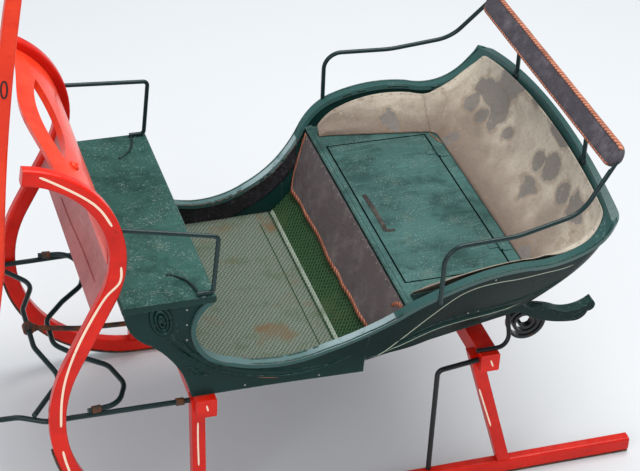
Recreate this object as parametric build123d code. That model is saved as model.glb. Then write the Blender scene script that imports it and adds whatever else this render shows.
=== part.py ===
from build123d import *
import math
import os

os.makedirs("parts", exist_ok=True)

# Horse drawn sleigh, sizes in millimetres.
# +X points forward, +Y to the sleigh's left, +Z up. The runners' iron shoes stand on Z = 0.
# X = 0 is the middle of the length between the runner heels and the shaft eyes.

# Runners: bent wood, flat on the ground, then one arc up, a straight rise and a swan neck.
# From the bend on they lean in, turned about the flat run's middle line.
RUNNER_Y = 440           # middle of each runner from the centre line
RUNNER_WIDE = 36
RUNNER_DEEP = 48
RUNNER_EDGE = 8          # rounding of the wood's edges
HEEL_X = -1024
FRONT_BEND_X = 365       # where the runner leaves the ground
FRONT_BEND_R = 428       # to the middle of the wood
RUNNER_LEAN = 2.5        # degrees
NECK_X, NECK_Z = 893, 996
NECK_R = 287
NECK_END = 98            # degrees round the neck's circle where its tip is
SHOE_WIDE = 30
SHOE_THICK = 6
SHOE_END = -12           # degrees up the front bend where the iron shoe stops

# Bunks, the two cross beams, and the knees that carry them.
BUNK_FRONT_X = 365
BUNK_REAR_X = -509
BUNK_TOP = 486
BUNK_HIGH = 62
BUNK_DEEP = 60
BUNK_LONG = 910
KNEE_AHEAD_FRONT = 18    # knees lap onto the front face of their bunk
KNEE_AHEAD_REAR = 34
KNEE_TOP_Y = 402
KNEE_DEEP = 40
KNEE_TOP_WIDE = 38
KNEE_FOOT_WIDE = 32
KNEE_LAP = 44            # how far the knee reaches up the bunk
REAR_RAKE = 118          # the rear knees' feet stand this far behind their tops
STAY_AHEAD = 159         # the stays' feet stand this far ahead of the rear bunk
STAY_R = 8
STAY_Y = 434
STAY_BEND_Z, STAY_TOP_Z = 440, 462

# Body shell: rows of a loft from the floor to above the back, one row for each height.
# height, half width at the front, at the arm rails and at the back, back's X, radius of its corners
SHELL_ROWS = (
    (470, 428, 440, 356, -488, 70),
    (600, 430, 468, 400, -636, 70),
    (740, 432, 532, 462, -754, 70),
    (880, 434, 574, 520, -812, 70),
    (1060, 436, 584, 528, -838, 70),
)
SHELL_FRONT = 640        # the loft runs past the front box and is trimmed
FLARE_START = 190        # the sides are straight ahead of this station
FLARE_END = -250         # and widest at this one
BEND_R = 320
WALL = 18
TUB_REAR = -700         # the tub's underside is level behind this
BODY_BOTTOM = BUNK_TOP   # the body sits on the front bunk
BOX_FRONT = 598          # front edge of the driver's box
BOX_REAR = 342
BOX_TOP = 823
TOE_FOOT = 404           # front of the box at the floor
TUB_FRONT = -112         # joint between footwell side and tub side
BACK_JOINT = -650        # joint between tub side and tub back
TUB_FLOOR_FRONT = 536    # height of the tub's underside at TUB_FRONT
TUB_SLOPE = 0.2          # its rise for each millimetre to the rear
BOARD = 14
RIM_THICK = 13
RIM_OUT = 10             # the cap stands out past the shell
RIM_IN = 5
BACK_TOP_SIDE = 966      # top of the back at its corners, cap included
BACK_TOP_MID = 1036
BACK_HALF = 520          # half the width of the back's arched top

# Driver's seat, passenger seat and footwell.
SEAT_BOARD_THICK = 22
SEAT_BOARD_REAR = 338
SEAT_BOARD_FRONT = 606
SEAT_BOARD_HALF = 442
FLOOR_TOP = BODY_BOTTOM + BOARD
SEAT_TOP = 748
SEAT_FRONT = -232
SEAT_RAIL_DEEP = 26
SEAT_RAIL_HIGH = 46
SEAT_RAIL_UP = 6         # the rail's moulding stands above the deck
SEAT_THICK = 24
LID_THICK = 13
LID_FRONT = -246
LID_REAR = -574
LID_HALF = 380           # clear of the side linings while it opens
LID_GAP = 6
LID_LEDGE = 16
HINGE_Y = 270
HINGE_R = 4
HINGE_PIN_R = 2
HINGE_LONG = 60
HINGE_LEAF = 32
HINGE_LEAF_THICK = 2
RISER_FOOT = -64         # front of the seat riser at the floor, half way up and at the top
RISER_MID_X, RISER_MID_Z = -148, 574
RISER_HEAD = -226
RISER_THICK = 12
SOFT_GAP = 0.3
# The padded lining's face slants from the deck out to the walls: the same columns as the shell's rows.
LINING_ROWS = (
    (SEAT_TOP, 402, 446, 386, -614, 30),
    (830, 405, 512, 458, -728, 50),
    (900, 407, 544, 490, -778, 60),
    (1060, 408, 556, 500, -806, 60),
)
LINING_SEAM = -600       # between the back's lining, which turns both corners, and the sides'
LINING_CLIMB = 18        # at the back's corners the lining's edge climbs this far behind the rim's curve
LINING_FLAT = 440        # inside this half width the back's lining reaches the arched top
MAT = 4
MAT_SHORT = 22           # it stops this far behind the toe board's foot
FALL = 4
FALL_TOP_Z = 742
FALL_FOOT_X, FALL_FOOT_Z = -142, 572

# Ironwork of the seats.
ROD_R = 6.5
ARM_ROD_R = 7
FRONT_RAIL_TOP = 1078    # at the neck
FRONT_RAIL_LOW = 1036    # at its rear corner
FRONT_RAIL_IN = 11       # in from the seat board's end
FRONT_RAIL_CORNER_X, FRONT_RAIL_FOOT_X, FRONT_RAIL_TOE_X = 332, 346, 392
BOLSTER_HALF = 500
BOLSTER_X, BOLSTER_Z = -810, 1154
BOLSTER_WIDE, BOLSTER_THICK = 72, 26
BOLSTER_TILT = 52        # degrees that its face is turned from flat towards the front
POST_X = -824            # its posts stand on the middle of the back's rim
POST_Y = 261
# station, half width and height of the left arm rail's corners, from its foot on the rim
ARM_RAIL = ((-281, 562, 795), (-281, 566, 985), (-500, 552, 982), (-700, 530, 1014))
ARM_BENDS = (56, 260, 120)

# Dash, between the swan necks.
DASH_THICK = 20          # its inside is flush with the necks' inside
DASH_TOP_ANGLE = 107     # degrees round the neck's circle
DASH_LOW_ANGLE = 188
DASH_EDGE_SIDE_X = 752   # the front edge bows forward from the necks to the middle
DASH_EDGE_MID_X = 790
DASH_SLOT_ANGLE = 130.7
DASH_SLOT_LONG = 440
DASH_SLOT_WIDE = 76
PANEL_THICK = 18
PANEL_DROP = 74          # how far the lower panel runs down the straight rise

# Draft irons, in a flat layer at the height of the bunks.
IRON_R = 8
IRON_Z = 452
IRON_Y = 400
EYE_X = 1005             # shaft eyes
EYE_Y = 352
EYE_R = 17
PIN_R = 8
PIN_GAP = 0.1
CHEEK_GAP = 1            # between the eye and the cheeks on each side of it
COLLAR_R = 17            # the collar that ties the centre bar to the front bow
COLLAR_LONG = 26
# station, half width and height of each bow's left half, from the middle out to the side iron
FRONT_BOW = ((800, 95, 490), (746, 240, 474), (850, 378, 468))
MIDDLE_BOW = (
    (736, 62, 463), (672, 140, 465), (600, 205, 468), (572, 300, 468), (608, 386, 468), (700, 396, 468),
)
FRONT_BOW_BEND = 75
MIDDLE_BOW_BEND = 66
BAR_FOOT_Z = 446         # the centre bar leaves the front bunk low, and rises over the middle bow
BAR_BEND_X, BAR_BEND_Z = 650, 462

# Rear irons.
BEARER_WIDE = 36
BEARER_DEEP = 34
SCROLL_X, SCROLL_Z = -652, 524
SCROLL_R = 57
SCROLL_RISE = 44         # its outer end, beside the bearer's tail
SCROLL_THICK = 10
SCROLL_WIDE = 22
SCROLL_TURNS = 5         # half turns
SCROLL_STEP = 9          # each half turn is this much smaller
CEE_X = -575
CEE_R = 7
CEE_OUT = 42             # its foot stands this far outside its top
CEE_PAST = 10            # its foot runs this far past the bunk's front edge

# Shafts, raised and leaning back.
SHAFT_LONG = 1990
SHAFT_LEAN = 8.2         # degrees from upright
SHAFT_DEEP = 48
SHAFT_WIDE = 36
SHAFT_TIP_DEEP = 30
SHAFT_TIP_WIDE = 26
SHAFT_START = 30         # wood starts this far above the pin
CHEEK_THICK = 6
CHEEK_LONG = 170
CROSSBAR_UP = 470
CROSSBAR_DEEP, CROSSBAR_HIGH = 40, 46
# height along the shaft, how far it has bowed forward, left shaft's half spread, depth and width
SHAFT_ROWS = (
    (SHAFT_START, 0, EYE_Y, SHAFT_DEEP, SHAFT_WIDE),
    (CROSSBAR_UP + 60, 0, EYE_Y, SHAFT_DEEP, SHAFT_WIDE),
    (SHAFT_LONG * 0.62, 26, EYE_Y - 20, SHAFT_DEEP - 6, SHAFT_WIDE - 2),
    (SHAFT_LONG, -40, EYE_Y - 70, SHAFT_TIP_DEEP, SHAFT_TIP_WIDE),
)

FAR = 1500               # further out than any piece that is trimmed
nodes = {}


def side(x, z, y=0):
    """A point given by its place in the side view."""
    return Vector(x, y, z)


def around(cx, cz, radius, degrees, y=0):
    """A point on a circle in the side view."""
    a = math.radians(degrees)
    return Vector(cx + radius * math.cos(a), y, cz + radius * math.sin(a))


def outline(start, *steps):
    """A closed face in the side view. A step is one point, or (middle, end) for an arc."""
    edges, here = [], Vector(start[0], 0, start[1])
    for step in steps:
        if isinstance(step[0], tuple):
            middle, end = side(*step[0]), side(*step[1])
            edges.append(ThreePointArc(here, middle, end))
        else:
            end = side(*step)
            edges.append(Line(here, end))
        here = end
    edges.append(Line(here, Vector(start[0], 0, start[1])))
    return make_face(edges)


def across(face, y_from, y_to):
    """A side view face made solid between two widths."""
    return Pos(0, y_from, 0) * extrude(face, amount=y_to - y_from, dir=(0, 1, 0))


def bar(points, radius, bends):
    """A round bar along straight runs joined by tangent arcs."""
    path = FilletPolyline(*points, radius=bends) if bends else Polyline(*points)
    section = Plane(origin=path @ 0, z_dir=path % 0) * Circle(radius)
    return sweep(section, path=path)


def both(name, left):
    """Keeps a left piece and its mirrored right one as two nodes."""
    nodes[name + "_left"] = left
    nodes[name + "_right"] = mirror(left, Plane.XZ)


def pair(left):
    """One node's worth of a left piece and its mirrored right one."""
    return Compound(children=[*left.solids(), *mirror(left, Plane.XZ).solids()])


def less(piece, *others):
    """The piece with its neighbours' room cut out of it, so that it seats on them."""
    for other in others:
        piece = piece - other
    return piece


def between(x_from, x_to, y_from=-FAR, y_to=FAR, z_from=0, z_to=FAR):
    """A plain block used to part or trim pieces."""
    return Pos((x_from + x_to) / 2, (y_from + y_to) / 2, (z_from + z_to) / 2) * Box(
        x_to - x_from, y_to - y_from, z_to - z_from)


# Runner centre line, from the circles' common tangent.
wood_mid = SHOE_THICK + RUNNER_DEEP / 2
bend_z = wood_mid + FRONT_BEND_R
reach = math.hypot(NECK_X - FRONT_BEND_X, NECK_Z - bend_z)
rise_angle = math.degrees(
    math.atan2(NECK_Z - bend_z, NECK_X - FRONT_BEND_X) - math.acos((FRONT_BEND_R + NECK_R) / reach)
)
neck_start = rise_angle + 180


def bend_point(degrees, out=0):
    return around(FRONT_BEND_X, bend_z, FRONT_BEND_R + out, degrees)


def neck_point(degrees, out=0):
    return around(NECK_X, NECK_Z, NECK_R + out, degrees)


def leaned(piece):
    """A left piece turned about the flat run's middle line, so that its top leans in."""
    return piece.rotate(Axis((0, RUNNER_Y, wood_mid), (1, 0, 0)), RUNNER_LEAN)


def upright_at(x, z):
    """The plane across a runner's path where its flat run ends."""
    return Plane(origin=(x, RUNNER_Y, z), x_dir=(0, 1, 0), z_dir=(1, 0, 0))


def runner():
    path = Pos(0, RUNNER_Y, 0) * Wire([
        ThreePointArc(bend_point(-90), bend_point((rise_angle - 90) / 2), bend_point(rise_angle)),
        Line(bend_point(rise_angle), neck_point(neck_start)),
        ThreePointArc(neck_point(neck_start), neck_point((neck_start + NECK_END) / 2), neck_point(NECK_END)),
    ])
    section = upright_at(FRONT_BEND_X, wood_mid) * RectangleRounded(RUNNER_WIDE, RUNNER_DEEP, RUNNER_EDGE)
    flat_run = extrude(section, amount=FRONT_BEND_X - HEEL_X, dir=(-1, 0, 0))
    return flat_run + leaned(sweep(section, path=path))


def shoe():
    out = (RUNNER_DEEP + SHOE_THICK) / 2
    path = Pos(0, RUNNER_Y, 0) * ThreePointArc(
        bend_point(-90, out), bend_point((SHOE_END - 90) / 2, out), bend_point(SHOE_END, out))
    section = upright_at(FRONT_BEND_X, SHOE_THICK / 2) * Rectangle(SHOE_WIDE, SHOE_THICK)
    flat_run = extrude(section, amount=FRONT_BEND_X - HEEL_X, dir=(-1, 0, 0))
    return flat_run + (leaned(sweep(section, path=path)) & between(HEEL_X, FAR))


def bunk(x):
    beam = Pos(x, 0, BUNK_TOP - BUNK_HIGH / 2) * Box(BUNK_DEEP, BUNK_LONG, BUNK_HIGH)
    return fillet(beam.edges().filter_by(Axis.Y), 5)


def knee(x, rake):
    foot_z = SHOE_THICK + RUNNER_DEEP
    top_z = BUNK_TOP - BUNK_HIGH + KNEE_LAP
    top = Plane(origin=(x, KNEE_TOP_Y, top_z)) * Rectangle(KNEE_DEEP, KNEE_TOP_WIDE)
    foot = Plane(origin=(x - rake, RUNNER_Y, foot_z)) * Rectangle(KNEE_DEEP, KNEE_FOOT_WIDE)
    return loft([foot, top])


def shell_loft(inset, rows=SHELL_ROWS):
    """The body's closed form, each row moved in by inset."""
    sections = []
    for height, front, widest, back, back_x, corner in rows:
        f, w, b, rear = front - inset, widest - inset, back - inset, back_x + inset
        corners = [(SHELL_FRONT, f), (FLARE_START, f), (FLARE_END, w), (rear, b),
                   (rear, -b), (FLARE_END, -w), (FLARE_START, -f), (SHELL_FRONT, -f)]
        line = FilletPolyline(*corners, radius=[BEND_R, BEND_R, corner, corner, BEND_R, BEND_R])
        face = make_face([*line.edges(), Line(line @ 1, line @ 0)])
        sections.append(Pos(0, 0, height) * face)
    return loft(sections)


outer = shell_loft(0)
inner = shell_loft(WALL)
inside = shell_loft(WALL + SOFT_GAP)


def tub_low(x):
    """Height of the tub's underside at a station."""
    return TUB_FLOOR_FRONT + (TUB_FRONT - x) * TUB_SLOPE


# The open space above the entry, the seat and the tub's rims, seen from the side.
sky = 1200
entry = (
    ((386, 776), (397, 735)),
    ((372, 654), (285, 597)),
    ((150, 571), (10, 604)),
    ((-96, 660), (-178, 735)),
    ((-238, 796), (-318, 836)),
    ((-430, 862), (-560, 862)),
    ((-710, 876), (-794, 946)),
    ((-814, 988), (-820, sky)),
)
above_rim = outline((BOX_REAR, BOX_TOP), *entry, (BOX_REAR, sky))
above_back = make_face([
    ThreePointArc((0, -BACK_HALF, BACK_TOP_SIDE), (0, 0, BACK_TOP_MID), (0, BACK_HALF, BACK_TOP_SIDE)),
    Line((0, BACK_HALF, BACK_TOP_SIDE), (0, FAR, BACK_TOP_SIDE)), Line((0, FAR, BACK_TOP_SIDE), (0, FAR, sky)),
    Line((0, FAR, sky), (0, -FAR, sky)), Line((0, -FAR, sky), (0, -FAR, BACK_TOP_SIDE)),
    Line((0, -FAR, BACK_TOP_SIDE), (0, -BACK_HALF, BACK_TOP_SIDE)),
])


def air_over_sides(out):
    """The open space as a solid, grown by out so that the cap's underside follows its top."""
    low = offset(above_rim, amount=out, kind=Kind.INTERSECTION) if out else above_rim
    return across(low, -FAR, FAR)


def air_over_back(out):
    return Pos(-FAR, 0, -out) * extrude(above_back, amount=FAR, dir=(1, 0, 0))


def open_air(out):
    return air_over_sides(out) + air_over_back(out)


# The body's outline from the side, closed at the top by the driver's box.
toe_line = (((440, 592), (522, 694)), ((576, 744), (BOX_FRONT, BOX_TOP)))
body_side = outline(
    (TUB_REAR, tub_low(TUB_REAR)), (TUB_FRONT, tub_low(TUB_FRONT)), (TUB_FRONT, BODY_BOTTOM),
    (TOE_FOOT, BODY_BOTTOM), *toe_line, (BOX_REAR, BOX_TOP), (BOX_REAR, sky), (-FAR, sky),
    (-FAR, tub_low(TUB_REAR)),
)
trim = across(body_side, -FAR, FAR)
air, air_wide = open_air(0), open_air(RIM_THICK)
shell = (outer - inner) & trim
shell = shell - air_wide


both("footwell_side", shell & between(TUB_FRONT, FAR, 0, FAR))
both("tub_side", shell & between(BACK_JOINT, TUB_FRONT, 0, FAR))
nodes["tub_back"] = shell & between(-FAR, BACK_JOINT)

# Rim cap, standing out past the shell, split where it passes from entry to tub.
cap = (shell_loft(-RIM_OUT) - shell_loft(WALL + RIM_IN)) & trim & (air_wide - air)
rim_joint = SEAT_FRONT + 60
nodes["entry_rims"] = pair(cap & between(rim_joint, FAR, 0, FAR))
nodes["tub_rims"] = pair(cap & between(BACK_JOINT - 100, rim_joint, 0, FAR))
nodes["back_rim"] = cap & between(-FAR, BACK_JOINT - 100)

# Boards inside the shell.
under_toe = outline((TOE_FOOT, BODY_BOTTOM), *toe_line, (700, BOX_TOP), (700, BODY_BOTTOM))
toe_step = BOARD / math.sqrt(2)
toe_face = Pos(-toe_step, 0, toe_step) * under_toe - under_toe
toe = across(toe_face, -600, 600) & inner & between(380, BOX_FRONT, z_from=FLOOR_TOP, z_to=BOX_TOP)
nodes["toe_board"] = toe
nodes["floor_board"] = between(TUB_FRONT, TOE_FOOT, z_from=BODY_BOTTOM, z_to=FLOOR_TOP) & inner

tub_floor = outline(
    (TUB_REAR, tub_low(TUB_REAR)), (TUB_FRONT, tub_low(TUB_FRONT)), (TUB_FRONT, tub_low(TUB_FRONT) + BOARD),
    (TUB_REAR, tub_low(TUB_REAR) + BOARD),
)

# The riser stands behind the footwell: its back is an arc like its front.
riser_top_z = SEAT_TOP - SEAT_THICK
riser_heel = RISER_FOOT - 1.5 * RISER_THICK
riser_back = ((RISER_MID_X - RISER_THICK, RISER_MID_Z - RISER_THICK / 2), (riser_heel, FLOOR_TOP))
riser_face = outline(
    (RISER_FOOT, FLOOR_TOP), ((RISER_MID_X, RISER_MID_Z), (RISER_HEAD, riser_top_z)),
    (RISER_HEAD - RISER_THICK, riser_top_z), riser_back,
)
ahead_of_riser = outline(
    (RISER_HEAD - RISER_THICK, riser_top_z), riser_back, (riser_heel, 0), (FAR, 0), (FAR, riser_top_z),
)
nodes["seat_riser"] = across(riser_face, -600, 600) & inner
nodes["tub_floor"] = (across(tub_floor, -600, 600) & inner) - across(ahead_of_riser, -600, 600)

# Passenger seat: a deck with a rebated opening, the front rail and the lid.
deck = between(-FAR, SEAT_FRONT, z_from=SEAT_TOP - SEAT_THICK, z_to=SEAT_TOP) & inner
lid_bed = SEAT_TOP - LID_THICK - SOFT_GAP
opening_half, ledge_half = LID_HALF + LID_GAP, LID_HALF - LID_LEDGE
deck -= between(LID_REAR - LID_GAP, LID_FRONT + LID_GAP, -opening_half, opening_half, lid_bed, SEAT_TOP)
deck -= between(LID_REAR + LID_LEDGE, LID_FRONT - LID_LEDGE, -ledge_half, ledge_half)
nodes["seat_deck"] = deck
rail_top = SEAT_TOP + SEAT_RAIL_UP
rail = between(SEAT_FRONT, SEAT_FRONT + SEAT_RAIL_DEEP, z_from=rail_top - SEAT_RAIL_HIGH, z_to=rail_top) & inner
nodes["seat_rail"] = less(rail, nodes["seat_riser"], nodes["tub_rims"])

hinge_z = SEAT_TOP + HINGE_R + SOFT_GAP
hinge_x = LID_REAR - LID_GAP / 2


def knuckle(y, long, radius, hole=0):
    tube = Pos(hinge_x, y, hinge_z) * Rot(90, 0, 0) * Cylinder(radius, long)
    return tube - Pos(hinge_x, y, hinge_z) * Rot(90, 0, 0) * Cylinder(hole, long) if hole else tube


lid = between(LID_REAR, LID_FRONT, -LID_HALF, LID_HALF, SEAT_TOP - LID_THICK, SEAT_TOP)
fixed_leaves = []
for y in (-HINGE_Y, HINGE_Y):
    third = HINGE_LONG / 6
    leaf_top = SEAT_TOP + HINGE_LEAF_THICK
    leaf = between(hinge_x, hinge_x + HINGE_LEAF, y - third, y + third, SEAT_TOP, leaf_top)
    leaf += between(hinge_x, hinge_x + HINGE_R, y - third, y + third, SEAT_TOP + SOFT_GAP, hinge_z)
    moving = knuckle(y, HINGE_LONG / 3, HINGE_R) + leaf
    lid += moving - knuckle(y, HINGE_LONG, HINGE_PIN_R + PIN_GAP)
    plate = between(hinge_x - HINGE_LEAF, hinge_x, y - HINGE_LONG / 2, y + HINGE_LONG / 2, SEAT_TOP, leaf_top)
    fixed = plate + knuckle(y, HINGE_LONG, HINGE_R)
    fixed -= between(hinge_x - HINGE_R - 1, hinge_x + HINGE_LEAF, y - third - 1, y + third + 1, SEAT_TOP - 1)
    fixed += knuckle(y, HINGE_LONG, HINGE_PIN_R)
    fixed_leaves += fixed.solids()
nodes["seat_lid"] = lid
nodes["lid_hinges"] = Compound(children=fixed_leaves)

# Soft pieces, each clear of its neighbours by the soft gap.
lining = (inside - shell_loft(0, LINING_ROWS)) & between(-FAR, SEAT_FRONT - 2, z_from=SEAT_TOP + SOFT_GAP)
over_sides, over_back = air_over_sides(RIM_THICK + SOFT_GAP), air_over_back(RIM_THICK + SOFT_GAP)
side_lining = less(lining, over_sides) & between(LINING_SEAM + SOFT_GAP, SEAT_FRONT, 0, FAR)
nodes["side_linings"] = pair(side_lining)
# The back's lining goes on up, in front of the rim cap, as far as the back's arched top.
cap_room = (outer - shell_loft(WALL + RIM_IN + SOFT_GAP)) & over_sides
over_corners = Pos(LINING_CLIMB, 0, 0) * over_sides - between(-FAR, FAR, -LINING_FLAT, LINING_FLAT)
nodes["back_lining"] = less(lining & between(-FAR, LINING_SEAM), over_back, over_corners, cap_room)
mat_bed = FLOOR_TOP + SOFT_GAP
nodes["floor_mat"] = between(RISER_FOOT + 1, TOE_FOOT - MAT_SHORT, z_from=mat_bed, z_to=mat_bed + MAT) & inside
fall_x = SEAT_FRONT + SEAT_RAIL_DEEP + SOFT_GAP
fall_face = outline((fall_x, FALL_TOP_Z), (FALL_FOOT_X, FALL_FOOT_Z), (FALL_FOOT_X + FALL, FALL_FOOT_Z + 1),
                    (fall_x + FALL, FALL_TOP_Z + 1))
nodes["seat_fall"] = across(fall_face, -600, 600) & inside

# Driver's seat.
seat_up = BOX_TOP + SEAT_BOARD_THICK
seat_board = between(SEAT_BOARD_REAR, SEAT_BOARD_FRONT, -SEAT_BOARD_HALF, SEAT_BOARD_HALF, BOX_TOP, seat_up)
nodes["driver_seat"] = fillet(seat_board.edges().filter_by(Axis.Y), 6)

# Bearers under the tub with carved tails, and the irons that carry them.
bearer_out = SHELL_ROWS[0][1] - WALL
bearer_face = outline(
    (TUB_FRONT, tub_low(TUB_FRONT) - BEARER_DEEP), (TUB_FRONT, tub_low(TUB_FRONT)), (-610, tub_low(-610)),
    ((-622, 614), (-650, 604)), ((-695, 594), (-735, 577)), ((-790, 571), (-846, 596)),
    ((-854, 578), (-832, 560)), ((-818, 540), (-785, 531)), ((-690, 550), (-600, tub_low(-600) - BEARER_DEEP)),
)
bearer = across(bearer_face, bearer_out - BEARER_WIDE, bearer_out)
bearer = less(bearer, nodes["seat_riser"], nodes["tub_floor"])
nodes["bearers"] = pair(bearer)


def cee_iron():
    """From the bearer's underside down onto the rear bunk's top."""
    y = bearer_out - BEARER_WIDE / 2
    low = BUNK_TOP + CEE_R
    past = BUNK_REAR_X + BUNK_DEEP / 2 + CEE_PAST
    out = y + CEE_OUT
    return bar([(CEE_X, y, tub_low(CEE_X) - BEARER_DEEP), (CEE_X, out, low), (past, out, low)], CEE_R, 40)


def scroll():
    """A spiral of half circles, each smaller than the last, hung from the bearer's tail."""
    y = bearer_out - BEARER_WIDE - SCROLL_WIDE / 2
    x, radius, way = SCROLL_X - SCROLL_R, SCROLL_R, 1
    edges = [Line(side(x, SCROLL_Z + SCROLL_RISE, y), side(x, SCROLL_Z, y))]
    for turn in range(SCROLL_TURNS):
        end = x + 2 * radius * way
        edges.append(ThreePointArc(side(x, SCROLL_Z, y), side((x + end) / 2, SCROLL_Z - radius * way, y),
                                   side(end, SCROLL_Z, y)))
        x, radius, way = end, radius - SCROLL_STEP, -way
    path = Wire(edges)
    section = Plane(origin=path @ 0, x_dir=(0, 1, 0), z_dir=path % 0) * Rectangle(SCROLL_WIDE, SCROLL_THICK)
    return sweep(section, path=path)


nodes["cee_irons"] = pair(less(cee_iron(), bearer))
nodes["scrolls"] = pair(scroll())

# Runners, shoes, bunks, knees and stays.
both("runner", runner())
nodes["shoes"] = pair(shoe())
for name, x, ahead, rake in (
    ("front", BUNK_FRONT_X, KNEE_AHEAD_FRONT, 0),
    ("rear", BUNK_REAR_X, KNEE_AHEAD_REAR, REAR_RAKE),
):
    nodes["bunk_" + name] = bunk(x)
    nodes["knees_" + name] = pair(less(knee(x + ahead, rake), nodes["bunk_" + name], nodes["runner_left"]))

stay_foot = SHOE_THICK + RUNNER_DEEP
stay_x = BUNK_REAR_X + STAY_AHEAD
stay = bar([(stay_x, STAY_Y, stay_foot), (stay_x, STAY_Y, STAY_BEND_Z), (BUNK_REAR_X, STAY_Y, STAY_TOP_Z)],
           STAY_R, 20)
nodes["stays"] = pair(less(stay, nodes["bunk_rear"]))


def arm_rail():
    """A rod from the tub's rim up and back into the bolster's end."""
    end = (BOLSTER_X, BOLSTER_HALF - ARM_ROD_R, BOLSTER_Z)
    return bar([*ARM_RAIL, end], ARM_ROD_R, ARM_BENDS)


# Seat irons.
bolster = Box(BOLSTER_WIDE, 2 * BOLSTER_HALF, BOLSTER_THICK)
bolster = Pos(BOLSTER_X, 0, BOLSTER_Z) * Rot(0, BOLSTER_TILT, 0) * bolster
bolster = fillet(bolster.edges().filter_by(Axis.Y), 10)
nodes["bolster"] = bolster
nodes["arm_rails"] = pair(less(arm_rail(), bolster, nodes["tub_rims"], nodes["tub_side_left"]))
rim_rise = BACK_TOP_MID - BACK_TOP_SIDE
rim_arc = (BACK_HALF ** 2 + rim_rise ** 2) / (2 * rim_rise)
post_foot = BACK_TOP_MID - rim_arc + math.sqrt(rim_arc ** 2 - POST_Y ** 2) - RIM_THICK / 2
post = Pos(POST_X, POST_Y, (post_foot + BOLSTER_Z) / 2) * Cylinder(ARM_ROD_R, BOLSTER_Z - post_foot)
nodes["bolster_posts"] = pair(less(post, bolster, nodes["back_rim"], nodes["tub_back"]))


def lean_in(z):
    """How far the runners' middle has come in at a height."""
    return (z - wood_mid) * math.sin(math.radians(RUNNER_LEAN))


def front_rail():
    low = seat_up + ROD_R
    y = SEAT_BOARD_HALF - FRONT_RAIL_IN
    in_neck = NECK_X - math.sqrt(NECK_R ** 2 - (FRONT_RAIL_TOP - NECK_Z) ** 2)
    points = [(in_neck, RUNNER_Y - lean_in(FRONT_RAIL_TOP), FRONT_RAIL_TOP),
              (FRONT_RAIL_CORNER_X, y, FRONT_RAIL_LOW), (FRONT_RAIL_FOOT_X, y, low), (FRONT_RAIL_TOE_X, y, low)]
    return bar(points, ROD_R, [16, 12])


nodes["front_rails"] = pair(front_rail() - nodes["runner_left"])

# Dash: the upper board follows the necks' circle and has one almond opening.
by_necks = leaned(between(-FAR, FAR, RUNNER_Y - RUNNER_WIDE / 2))
outside_necks = (by_necks, mirror(by_necks, Plane.XZ))
dash_out = DASH_THICK - RUNNER_DEEP / 2
dash_in = dash_out - DASH_THICK
dash_mid = (DASH_LOW_ANGLE + DASH_TOP_ANGLE) / 2
dash_face = make_face([
    ThreePointArc(*[neck_point(angle, dash_out) for angle in (DASH_LOW_ANGLE, dash_mid, DASH_TOP_ANGLE)]),
    Line(neck_point(DASH_TOP_ANGLE, dash_out), neck_point(DASH_TOP_ANGLE, dash_in)),
    ThreePointArc(*[neck_point(angle, dash_in) for angle in (DASH_TOP_ANGLE, dash_mid, DASH_LOW_ANGLE)]),
    Line(neck_point(DASH_LOW_ANGLE, dash_in), neck_point(DASH_LOW_ANGLE, dash_out)),
])
slot_at = neck_point(DASH_SLOT_ANGLE, dash_out)
slot_plane = Plane(origin=slot_at, x_dir=(0, 1, 0), z_dir=slot_at - side(NECK_X, NECK_Z))
half_long, half_wide = DASH_SLOT_LONG / 2, DASH_SLOT_WIDE / 2
almond = make_face([ThreePointArc((-half_long, 0), (0, half_wide), (half_long, 0)),
                    ThreePointArc((half_long, 0), (0, -half_wide), (-half_long, 0))])
slot_cut = extrude(slot_plane * almond, amount=60, both=True)
edge_end = RUNNER_Y - lean_in(NECK_Z + NECK_R)
edge_left, edge_right = (DASH_EDGE_SIDE_X, edge_end, 0), (DASH_EDGE_SIDE_X, -edge_end, 0)
edge_line = Spline(edge_right, (DASH_EDGE_MID_X, 0, 0), edge_left, tangents=[(0, 1, 0), (0, 1, 0)])
ahead_of_edge = make_face([edge_line, Polyline(edge_left, (FAR, edge_end, 0), (FAR, -edge_end, 0), edge_right)])
edge_cut = Pos(0, 0, NECK_Z) * extrude(ahead_of_edge, amount=2 * NECK_R, dir=(0, 0, 1))
nodes["dash_board"] = less(across(dash_face, -RUNNER_Y, RUNNER_Y), slot_cut, edge_cut, *outside_necks)

# Dash panel, below it, down the straight rise between the necks.
down = (neck_point(neck_start) - bend_point(rise_angle)).normalized() * -PANEL_DROP
half_panel = PANEL_THICK / 2
panel_in, panel_out = neck_point(neck_start, -half_panel), neck_point(neck_start, half_panel)
panel_mid = (DASH_LOW_ANGLE + neck_start) / 2
panel_face = make_face([
    ThreePointArc(neck_point(DASH_LOW_ANGLE, half_panel), neck_point(panel_mid, half_panel), panel_out),
    Line(panel_out, panel_out + down), Line(panel_out + down, panel_in + down), Line(panel_in + down, panel_in),
    ThreePointArc(panel_in, neck_point(panel_mid, -half_panel), neck_point(DASH_LOW_ANGLE, -half_panel)),
    Line(neck_point(DASH_LOW_ANGLE, -half_panel), neck_point(DASH_LOW_ANGLE, half_panel)),
])
nodes["dash_panel"] = less(across(panel_face, -RUNNER_Y, RUNNER_Y), *outside_necks)

# Draft irons: side irons to the shaft eyes, two bows, and a centre bar that ties them.


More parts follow.
